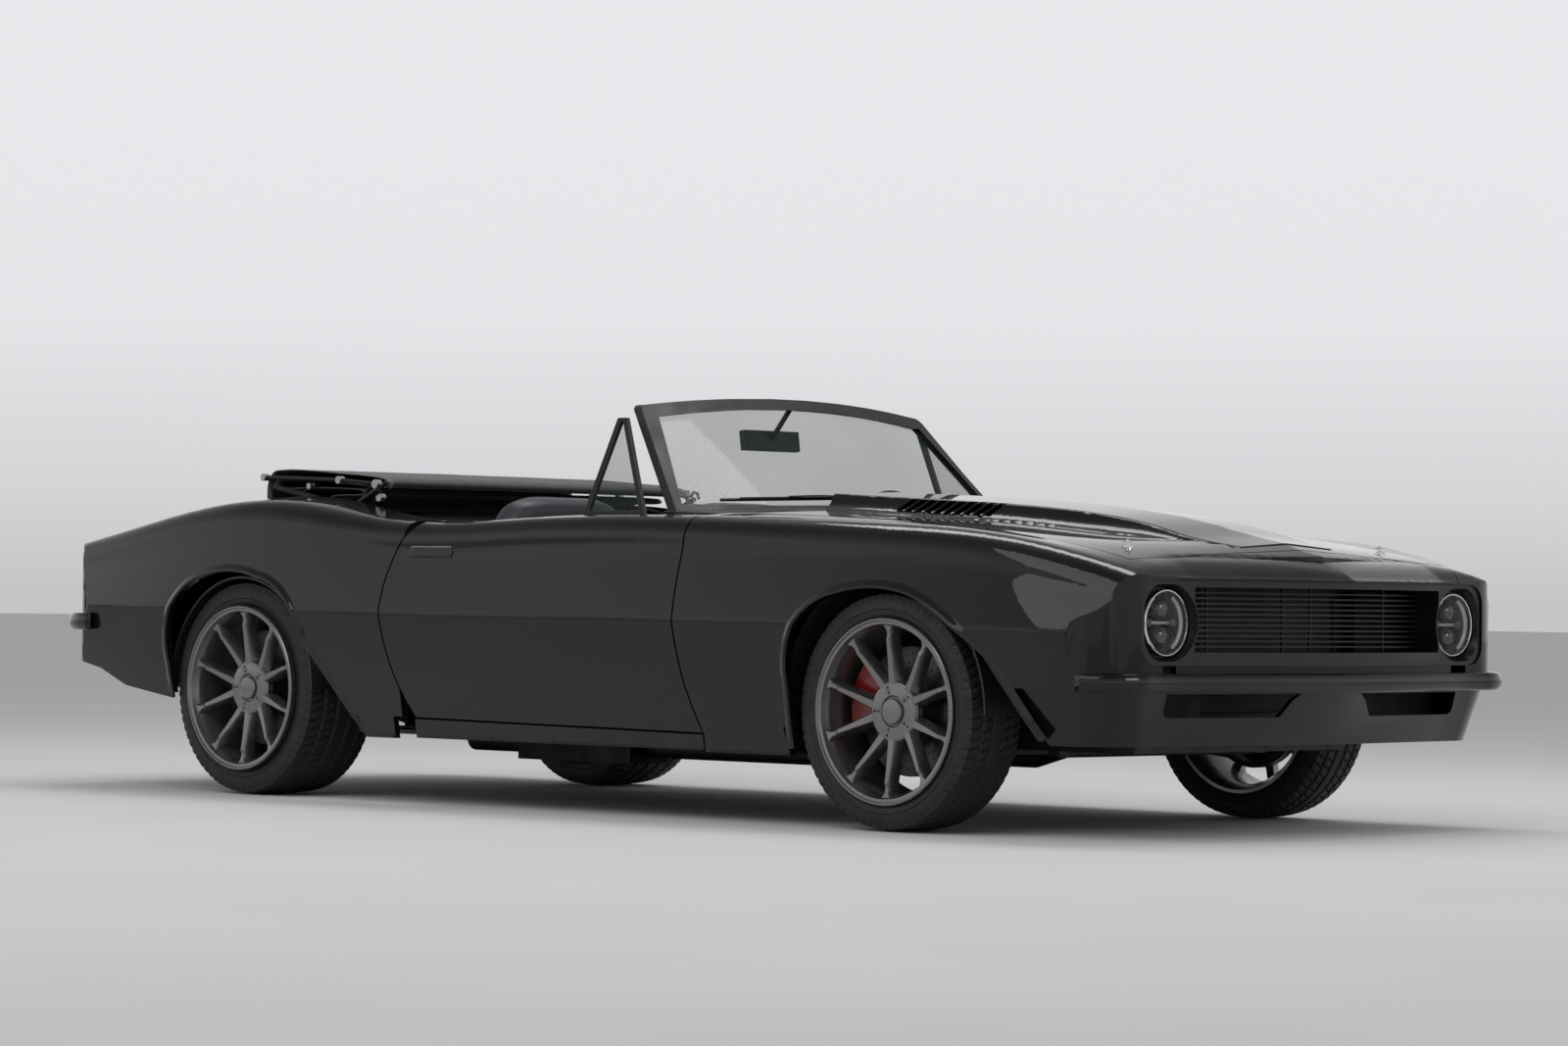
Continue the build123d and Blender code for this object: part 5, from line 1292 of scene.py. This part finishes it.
def cushion(name, centre, size, exponent=5.0, crown=0.02, bolster=0.0, bolster_from=0.66, seams=(), turn=0.0,
            cuts=34):
    """A stuffed cushion: sides that pull in between corners, a crowned face, side bolsters and sewn channels.
    The size is half of each extent; the face that is sat on looks up before the turn about y."""
    bm = bmesh.new()
    bmesh.ops.create_cube(bm, size=2.0)
    bmesh.ops.subdivide_edges(bm, edges=bm.edges, cuts=cuts, use_grid_fill=True)
    half = Vector(size)
    for vertex in bm.verts:
        u, v, w = vertex.co
        length = (abs(u)**exponent + abs(v)**exponent + abs(w)**exponent)**(1 / exponent)
        u, v, w = u / length, v / length, w / length
        pull_u = 1 - 0.018 * (1 - v * v) * abs(u)**4
        pull_v = 1 - 0.022 * (1 - u * u) * abs(v)**4
        x, y, z = u * half.x * pull_u, v * half.y * pull_v, w * half.z
        if w > 0:
            lift = crown * (1 - u * u) * (1 - v * v)
            side = min(max((abs(v) - bolster_from) / (1 - bolster_from), 0), 1)
            lift += bolster * math.sin(math.pi * min(side, 0.86) / 0.86 * 0.62) * (1 - abs(u)**6)
            z += w * (lift - crown * 0.5 - bolster * 0.5)
        dent = 0.0
        for axis, at, low, high in seams:
            here, along = (u, v) if axis == "u" else (v, u)
            if low - 0.02 <= along <= high + 0.02:
                gap = (abs(here) - abs(at)) if at < 0 else (here - at)
                gap *= half.x if axis == "u" else half.y
                dent = max(dent, 0.0075 * math.exp(-(gap / 0.0065)**2))
        if w > 0.2:
            z -= dent * min(1, (w - 0.2) * 3)
        vertex.co = Vector((x, y, z))
    wobble = random.Random(sum(map(ord, name)))
    phases = [(wobble.uniform(6, 13), wobble.uniform(6, 13), wobble.uniform(0, 6)) for _ in range(4)]
    for vertex in bm.verts:
        x, y, _ = vertex.co
        vertex.co.z += 0.0012 * sum(math.sin(a * x * 3 + b * y * 3 + c) for a, b, c in phases) / 2
    bmesh.ops.rotate(bm, verts=bm.verts, matrix=Matrix.Rotation(turn, 3, "Y"))
    bmesh.ops.translate(bm, verts=bm.verts, vec=Vector(centre))
    for face in bm.faces:
        face.smooth = True
    piece = add_bmesh(name, bm)
    piece.data.materials.append(SLATE)
    return piece


SEAT_Y = 0.385

# Seams of the cushions
# columns: direction held (u along, v across), its place, start and end, each as a share of the half size
CUSHION_SEAMS = [("v", -0.62, -0.9, 0.9), ("u", 0.42, -0.6, 0.6)]
BENCH_SEAMS = [("v", -0.86, -0.9, 0.9), ("v", -0.12, -0.9, 0.9)]
BACK_SEAMS = [("v", -0.66, -0.92, 0.70), ("u", 0.70, -0.62, 0.62)]


def front_seat(name):
    side = SIDES[name]
    seat = cushion(
        f"seat_cushion_{name}", (-0.065, side * SEAT_Y, 0.385), (0.250, 0.250, 0.078), 5.0, 0.016, 0.030, 0.62,
        CUSHION_SEAMS, math.radians(-3.0))
    back = cushion(
        f"seat_back_{name}", (-0.437, side * SEAT_Y, 0.674), (0.262, 0.246, 0.066), 4.2, 0.012, 0.030, 0.64,
        BACK_SEAMS, math.radians(-90 + 13), 40)
    shell = block(
        "shell", (-0.02, -0.236, -0.235), (0.02, 0.236, 0.20), 0.018, Matrix.Rotation(math.radians(-13), 3, "Y"),
        (-0.492, side * SEAT_Y, 0.64))
    base = block("base", (-0.44, side * SEAT_Y - 0.20, 0.2175), (0.14, side * SEAT_Y + 0.20, 0.310), 0.02)
    rails = []
    for offset in (-0.19, 0.19):
        y = side * SEAT_Y + offset
        rails.append(block("rail", (-0.42, y - 0.012, 0.2175), (0.12, y + 0.012, 0.236), 0.003))
    frame_piece = gathered(f"seat_frame_{name}", [
        with_material(base, CARPET), with_material(shell, DASH)] + [with_material(r, LINKAGE) for r in rails])
    stand_in(seat, "seat_" + name)
    extra(back, "root", SLATE)
    mounted(frame_piece, "root")


def rear_bench():
    base = cushion("rear_cushion", (-0.785, 0, 0.432), (0.178, 0.548, 0.076), 6.0, 0.012, 0.0, 0.9,
                   BENCH_SEAMS + [("u", 0.35, -0.86, 0.86)], math.radians(-1.5), 44)
    back = cushion("rear_back", (-1.052, 0, 0.697), (0.190, 0.548, 0.062), 5.0, 0.012, 0.0, 0.9,
                   BENCH_SEAMS + [("u", 0.62, -0.86, 0.86)],
                   math.radians(-90 + 7), 44)
    stand_in(base, "rear_seat")
    extra(back, "root", SLATE)


for side_name in SIDES:
    front_seat(side_name)
rear_bench()


def smooth_path(points, step=0.006):
    """Evenly spaced points along a centripetal curve through a few points."""
    points = [np.array(p, dtype=float) for p in points]
    points = [2 * points[0] - points[1]] + points + [2 * points[-1] - points[-2]]
    dense = []
    for i in range(1, len(points) - 2):
        p0, p1, p2, p3 = points[i - 1:i + 3]
        t0 = 0.0
        t1 = t0 + np.linalg.norm(p1 - p0)**0.5
        t2 = t1 + np.linalg.norm(p2 - p1)**0.5
        t3 = t2 + np.linalg.norm(p3 - p2)**0.5
        for t in np.linspace(t1, t2, 24, endpoint=False):
            a1 = (t1 - t) / (t1 - t0) * p0 + (t - t0) / (t1 - t0) * p1
            a2 = (t2 - t) / (t2 - t1) * p1 + (t - t1) / (t2 - t1) * p2
            a3 = (t3 - t) / (t3 - t2) * p2 + (t - t2) / (t3 - t2) * p3
            b1 = (t2 - t) / (t2 - t0) * a1 + (t - t0) / (t2 - t0) * a2
            b2 = (t3 - t) / (t3 - t1) * a2 + (t - t1) / (t3 - t1) * a3
            dense.append((t2 - t) / (t2 - t1) * b1 + (t - t1) / (t2 - t1) * b2)
    dense.append(points[-2])
    dense = np.array(dense)
    along = np.concatenate([[0], np.cumsum(np.linalg.norm(np.diff(dense, axis=0), axis=1))])
    at = np.linspace(0, along[-1], max(int(along[-1] / step), 2))
    return np.stack([np.interp(at, along, dense[:, k]) for k in range(dense.shape[1])], axis=1), along[-1]


# Side view of the folded top from its rear edge, over the stack and down into the well
TOP_FOLDS = [
    (-1.478, 0.822), (-1.482, 0.900), (-1.478, 0.975), (-1.452, 1.008), (-1.400, 1.0145), (-1.320, 1.014),
    (-1.150, 1.003), (-0.960, 0.989), (-0.915, 0.981), (-0.897, 0.970), (-0.904, 0.958), (-0.935, 0.957),
    (-1.050, 0.967), (-1.200, 0.979), (-1.360, 0.988), (-1.432, 0.984), (-1.448, 0.970), (-1.430, 0.957),
    (-1.330, 0.958), (-1.180, 0.957), (-1.060, 0.952), (-1.020, 0.947), (-1.012, 0.939), (-1.030, 0.935),
    (-1.110, 0.934), (-1.170, 0.928), (-1.240, 0.893), (-1.330, 0.905), (-1.410, 0.905), (-1.446, 0.880),
    (-1.440, 0.838), (-1.400, 0.822),
]
TOP_HALF_WIDTH = 0.640


def folded_top():
    """The soft top, one long sheet folded back and forth on its bows, sagging a little between them."""
    path, length = smooth_path(TOP_FOLDS)
    chance = random.Random(8)
    spans = ((3, 9), (0, 6), (4, 16), (0, 6))
    waves = [tuple(chance.uniform(low, high) for low, high in spans) for _ in range(9)]
    columns = 65
    vertices, faces = [], []
    rows = len(path)
    for i, (x, z) in enumerate(path):
        ahead = path[min(i + 1, rows - 1)] - path[max(i - 1, 0)]
        normal = np.array((-ahead[1], ahead[0])) / (np.linalg.norm(ahead) + 1e-9)
        share = i / rows
        for j in range(columns):
            v = 2 * j / (columns - 1) - 1
            ripple = sum(math.sin(a * v + b + c * share * 6) * math.cos(d + c * v) for a, b, c, d in waves) / 9
            sag = 0.0016 * ripple * (0.4 + 0.6 * (1 - v * v))
            droop = -0.0022 * (1 - v * v) * math.sin(share * 40)
            off = sag + 0.5 * droop
            vertices.append((x + normal[0] * off, v * TOP_HALF_WIDTH, z + normal[1] * off))
    for i in range(rows - 1):
        for j in range(columns - 1):
            k = i * columns + j
            faces.append((k, k + 1, k + columns + 1, k + columns))
    piece = add_mesh("folded_top_cloth", vertices, faces)
    piece.data.materials.append(CANVAS)
    piece.data.materials.append(CANVAS_LINING)
    for index, face in enumerate(piece.data.polygons):
        column = index % (columns - 1)
        face.material_index = int(column in (0, columns - 2))
    modifier = piece.modifiers.new("cloth", "SOLIDIFY")
    modifier.thickness = 0.0024
    modifier.offset = 0
    stand_in(piece, "folded_top")


folded_top()


# Pivots of the top's links
# columns: x, z, radius
TOP_PIVOTS = [
    (-1.465, 0.992, 0.011), (-1.100, 0.980, 0.012), (-0.925, 0.966, 0.014), (-0.905, 0.925, 0.013),
    (-0.985, 0.882, 0.016), (-1.030, 0.872, 0.012), (-1.240, 0.962, 0.010),
]


def top_frame():
    """Bows and links of the folded top at both of its ends."""
    dressed("top_linkage", 0.002, LINKAGE)
    for name, side in SIDES.items():
        y = side * 0.663
        parts = []
        for start, end, radius in (
            ((-1.465, y, 0.992), (-1.100, y, 0.980), 0.0065), ((-1.100, y, 0.980), (-0.925, y, 0.966), 0.0065),
            ((-0.925, y, 0.966), (-0.905, y, 0.925), 0.0060), ((-0.905, y, 0.925), (-0.985, y, 0.882), 0.0060),
            ((-0.985, y, 0.882), (-1.080, y, 0.862), 0.0065), ((-0.965, y, 0.955), (-1.030, y, 0.872), 0.0055),
            ((-1.240, y, 0.962), (-1.340, y, 0.900), 0.0055),
        ):
            parts.append(with_material(tube("link", [start, end], radius, 10), LINKAGE))
        for x, z, radius in TOP_PIVOTS:
            low, high = sorted((y - side * 0.009, y + side * 0.011))
            parts.append(with_material(tube("pivot", [(x, low, z), (x, high, z)], radius, 20), BARE))
        hook = [(-0.900, y, 0.958), (-0.885, y, 0.972), (-0.868, y, 0.968), (-0.862, y, 0.950)]
        parts.append(with_material(tube("latch", hook, 0.005, 10), LINKAGE))
        for x, z in ((-1.470, 0.985), (-1.000, 0.972), (-1.250, 0.969)):
            low, high = sorted((side * 0.600, side * 0.668))
            bow = block("bow", (x - 0.012, low, z - 0.004), (x + 0.012, high, z + 0.002), 0.0015)
            parts.append(with_material(bow, LINKAGE))
        mounted(gathered("top_links_" + name, parts), "root")


top_frame()
dressed("dashboard", 0.014, DASH, segments=4)
dressed("console", 0.012, DASH, segments=3)
dressed("interior_mirror", 0.006, TRIM, segments=3)
dressed("steering_wheel", 0.002, DASH, angle=40)


# Small fittings

def on_body(x, y, lift=0.0):
    """A point on the smooth body seen from above, lifted off it."""
    row = spline_rows(SECTIONS, [x])[0]
    return (x, y, crown_height(row, y) + lift)


def on_side(x, z, side, lift=0.0):
    """A point on the body's side at a height."""
    best = min((abs(p[2] - z), -p[1], p[1]) for p in HULL[1][abs(HULL[1][:, 0] - x) < HULL_STEP * 0.6])
    return (x, side * (best[2] + lift), z)


def hood_pin(side):
    x, y, z = on_body(2.010, side * 0.550)
    parts = []
    for low, high, radius in ((z - 0.004, z + 0.0022, 0.0165), (z, z + 0.006, 0.0065), (z, z + 0.019, 0.0042)):
        parts.append(tube("pin", [(x, y, low), (x, y, high)], radius, 28))
    parts.append(tube("clip", [(x - 0.020, y + 0.004, z + 0.013), (x + 0.014, y - 0.003, z + 0.013)], 0.0014, 8))
    loop = [(x + 0.014 + 0.007 * math.sin(a), y - 0.003 - 0.007 + 0.007 * math.cos(a), z + 0.013)
            for a in np.linspace(0, 6.2, 14)]
    parts.append(tube("loop", loop, 0.0014, 8))
    return parts


pins = joined("hood_pins", hood_pin(-1) + hood_pin(1))
extra(pins, "hood", CHROME)


def screen_x(y, z):
    """Front face of the windscreen at a place across and up."""
    share = (z - 0.884) / (1.188 - 0.884)
    half = 0.700 - 0.100 * share
    bow = 0.150 - 0.080 * share
    return 0.432 - 0.256 * share + bow * (1 - (y / half)**2)


def wiper(shift, pivot_y):
    """Arm and blade of one wiper, parked along the foot of the windscreen."""
    parts = []
    blade = [(screen_x(y, z) + 0.004, y, z) for y, z in
             [(shift + 0.22 - 0.44 * t, 0.926 - 0.014 * t) for t in np.linspace(0, 1, 9)]]
    parts.append(tube("blade", blade, 0.0048, 8))
    spine = [(x + 0.011, y, z + 0.004) for x, y, z in blade[1:-1]]
    parts.append(tube("spine", spine, 0.0035, 8))
    middle = blade[4]
    foot = max(screen_x(pivot_y, 0.884) + 0.014, 0.560)
    knee = min(foot, 0.5735)
    arm = [(foot, pivot_y, 0.879), ((foot + 2 * knee) / 3, pivot_y - 0.006, 0.892), (knee, pivot_y - 0.014, 0.906),
           (knee - 0.002, pivot_y - 0.040, 0.921), (middle[0] + 0.024, (pivot_y + middle[1]) / 2, 0.930),
           (middle[0] + 0.014, middle[1], middle[2] + 0.006)]
    parts.append(tube("arm", [tuple(p) for p in smooth_path(arm, 0.008)[0]], 0.0044, 10))
    parts.append(tube("pivot", [(foot, pivot_y, 0.864), (foot, pivot_y, 0.881)], 0.010, 20))
    return parts


wipers = joined("wipers", wiper(-0.33, -0.02) + wiper(0.22, 0.50))
extra(wipers, "root", TRIM)


def door_handle(name):
    """Flush handle on the door skin, its thin gap drawn as a near-black plate of painted shade."""
    side = SIDES[name]
    parts = []
    # The largest, near-black plate is painted shade for the gap round the handle
    for grow, lift, finish in ((0.0060, 0.0004, SHADE_BLACK), (0.0024, 0.0014, SILVER), (0.0, 0.0028, PAINT)):
        x0, x1, z0, z1 = -0.521 - grow, -0.347 + grow, 0.743 - grow, 0.769 + grow
        rings = []
        for x in np.linspace(x0, x1, 13):
            lower, upper = on_side(x, z0, side, lift), on_side(x, z1, side, lift)
            inner_low, inner_high = on_side(x, z0, side, -0.004), on_side(x, z1, side, -0.004)
            rings.append([inner_low, lower, upper, inner_high])
        piece = ring_sweep("plate", rings, caps=True)
        outward(piece)
        sharpen_piece(piece, 0.6)
        parts.append(with_material(piece, finish))
    mounted(gathered("door_handle_" + name, parts), body_of("door_" + name))


for side_name in SIDES:
    door_handle(side_name)

mirror_face = block(
    "mirror_face", (-0.0012, -0.110, -0.024), (0.0012, 0.110, 0.024), 0.001,
    Matrix.Rotation(math.radians(-8), 3, "Y"), (0.1062, 0, 1.1025))
extra(mirror_face, "root", CHROME)


DIAL_FACE_X = 0.270


def dials():
    """Two deep round dials ahead of the steering wheel and a row of small ones in the middle."""
    parts = []
    for y, z, radius in ((0.300, 0.792, 0.052), (0.470, 0.792, 0.052), (0.06, 0.800, 0.026), (0.0, 0.800, 0.026),
                         (-0.06, 0.800, 0.026)):
        for profile, finish in (
            ([(radius, -0.012), (radius, 0.006), (radius - 0.004, 0.009), (radius - 0.007, 0.004),
              (radius - 0.007, -0.012)], CHROME),
            ([(radius - 0.007, -0.004), (radius - 0.007, 0.0), (0.0005, 0.0), (0.0005, -0.004)], DIAL),
        ):
            piece = turned_ahead("dial", profile, (DIAL_FACE_X, y, z), -1)
            sharpen_piece(piece, 0.6)
            parts.append(with_material(piece, finish))
    return gathered("dials", parts)


mounted(dials(), "root")

carpet = joined("carpets", [
    block("side", (-0.885, s * 0.428 - 0.300, 0.2172), (0.685, s * 0.428 + 0.300, 0.224), 0.002) for s in (-1, 1)
] + [block("tunnel", (-0.89, -0.124, 0.2175), (0.685, 0.124, 0.4005), 0.006)])
extra(carpet, "root", CARPET)


def door_card(name):
    """Padded inner panel of a door with an armrest and a pull."""
    side = SIDES[name]
    y = side * 0.7625
    low, high = sorted((y, y - side * 0.010))
    parts = [with_material(block("panel", (-0.44, low, 0.275), (0.60, high, 0.800), 0.004), DASH)]
    low, high = sorted((y, y - side * 0.045))
    parts.append(with_material(block("rest", (-0.34, low, 0.560), (0.22, high, 0.600), 0.014), SLATE))
    parts.append(with_material(tube("pull", [(-0.08, y - side * 0.012, 0.665), (-0.06, y - side * 0.034, 0.668),
                                             (0.07, y - side * 0.034, 0.668), (0.09, y - side * 0.012, 0.665)],
                                    0.007, 12), BARE))
    mounted(gathered("door_card_" + name, parts), body_of("door_" + name))


for side_name in SIDES:
    door_card(side_name)

EXHAUST_TIP = (-2.225, 0.440, 0.340)
# Each tip is closed a little way in by a near-black disc, painted shade inside the pipe
tips = []
for side in (-1, 1):
    for profile, finish in (
        ([(0.0285, -0.02), (0.0295, 0.05), (0.0275, 0.052), (0.0255, 0.048), (0.0255, -0.02)], BARE),
        ([(0.0255, 0.0), (0.0255, 0.004), (0.0003, 0.004), (0.0003, 0.0)], SHADE_BLACK),
    ):
        place = (EXHAUST_TIP[0], side * EXHAUST_TIP[1], EXHAUST_TIP[2])
        tips.append(with_material(turned_ahead("tip", profile, place, -1, 40), finish))
mounted(gathered("exhaust_tips", tips), "root")


# Air guides beside the radiator, near-black: partly real guides, partly painted shade that closes the view through
# the nose

GUIDE_X = (2.085, 2.089)
GUIDE_Y = (0.335, 0.700)
GUIDE_Z = (0.285, 0.668)
guides = []
for sign in SIDES.values():
    inner, outer = sorted(sign * y for y in GUIDE_Y)
    guides.append(block("guide", (GUIDE_X[0], inner, GUIDE_Z[0]), (GUIDE_X[1], outer, GUIDE_Z[1]), 0.0008))
extra(joined("air_guides_and_shade", guides), "root", SHADE_BLACK)


# Camera, stage and light

CAMERA_PLACE = Vector((10.3655, -10.3502, 0.6304))
CAMERA_YAW = math.radians(44.5337)
CAMERA_PITCH = math.radians(0.8921)
CAMERA_ROLL = math.radians(0.6909)
CAMERA_LENS = 110.53


def add_camera():
    forward = Vector((
        -math.sin(CAMERA_YAW) * math.cos(CAMERA_PITCH),
        math.cos(CAMERA_YAW) * math.cos(CAMERA_PITCH),
        math.sin(CAMERA_PITCH),
    ))
    level = Vector((math.cos(CAMERA_YAW), math.sin(CAMERA_YAW), 0))
    upright = level.cross(forward)
    right = level * math.cos(CAMERA_ROLL) + upright * math.sin(CAMERA_ROLL)
    up = upright * math.cos(CAMERA_ROLL) - level * math.sin(CAMERA_ROLL)
    turn = Matrix((right, up, -forward)).transposed().to_4x4()
    camera = bpy.data.objects.new("camera", bpy.data.cameras.new("camera"))
    camera.data.lens = CAMERA_LENS
    camera.data.sensor_width = 36
    camera.data.clip_end = 500
    camera.matrix_world = Matrix.Translation(CAMERA_PLACE) @ turn
    bpy.context.scene.collection.objects.link(camera)
    bpy.context.scene.camera = camera


def add_floor():
    floor = add_mesh("floor", [(-90, -90, 0), (90, -90, 0), (90, 90, 0), (-90, 90, 0)], [(0, 1, 2, 3)], False)
    material, tree, shader = new_material("pale_floor")
    tree.links.new(mixed_colour(tree, noise(tree, 0.8, 6), (0.52, 0.52, 0.51), (0.58, 0.58, 0.57)),
                   shader.inputs["Base Color"])
    shader.inputs["Roughness"].default_value = 0.9
    shader.inputs["Specular IOR Level"].default_value = 0.1
    bumped(tree, shader, noise(tree, 60, 4), 0.1, 0.002)
    floor.data.materials.append(material)


# Backdrop seen directly, in gloss and through glass
# columns: height of the direction, grey level
BACKDROP = [(0.0, 0.56), (0.02, 0.66), (0.06, 0.80), (0.20, 0.82), (0.42, 0.44), (0.62, 0.22), (1.0, 0.16)]
STUDIO_FILL = 0.62


def add_world():
    """Pale backdrop low down that darkens overhead, and an even pale fill for everything matt."""
    world = bpy.data.worlds.new("studio")
    bpy.context.scene.world = world
    world.use_nodes = True
    tree = world.node_tree
    background = tree.nodes["Background"]
    place = tree.nodes.new("ShaderNodeTexCoord")
    split = tree.nodes.new("ShaderNodeSeparateXYZ")
    tree.links.new(place.outputs["Generated"], split.inputs[0])
    ramp = tree.nodes.new("ShaderNodeValToRGB")
    stops = ramp.color_ramp.elements
    stops[0].position, stops[1].position = BACKDROP[0][0], BACKDROP[-1][0]
    for height, _ in BACKDROP[1:-1]:
        stops.new(height)
    for stop, (_, grey) in zip(stops, BACKDROP):
        stop.color = (grey * 0.985, grey * 0.995, grey * 1.02, 1)
    tree.links.new(split.outputs["Z"], ramp.inputs[0])
    path = tree.nodes.new("ShaderNodeLightPath")
    seen = combined(tree, "MAXIMUM", path.outputs["Is Camera Ray"], path.outputs["Is Glossy Ray"])
    seen = combined(tree, "MAXIMUM", seen, path.outputs["Is Transmission Ray"])
    mix = tree.nodes.new("ShaderNodeMix")
    mix.data_type = "RGBA"
    mix.inputs[6].default_value = (STUDIO_FILL, STUDIO_FILL, STUDIO_FILL, 1)
    tree.links.new(seen, mix.inputs[0])
    tree.links.new(ramp.outputs[0], mix.inputs[7])
    tree.links.new(mix.outputs[2], background.inputs["Color"])
    background.inputs["Strength"].default_value = 1.0


def add_lamp(name, place, target, size, power):
    light = bpy.data.lights.new(name, "AREA")
    light.shape = "RECTANGLE"
    light.size, light.size_y = size
    light.energy = power
    lamp = bpy.data.objects.new(name, light)
    lamp.location = place
    lamp.rotation_euler = (Vector(target) - Vector(place)).to_track_quat("-Z", "Y").to_euler()
    bpy.context.scene.collection.objects.link(lamp)


add_camera()
add_floor()
add_world()
add_lamp("key", (1.0, -7.5, 6.5), (0, 0, 0.5), (10.0, 5.0), 250)
add_lamp("overhead", (-0.5, 1.5, 6.5), (0, 0, 0.6), (7.0, 2.0), 200)
add_lamp("nose_fill", (9.0, 0.5, 3.6), (1.5, 0, 0.5), (3.5, 1.6), 90)

bpy.context.scene.view_settings.view_transform = "Standard"
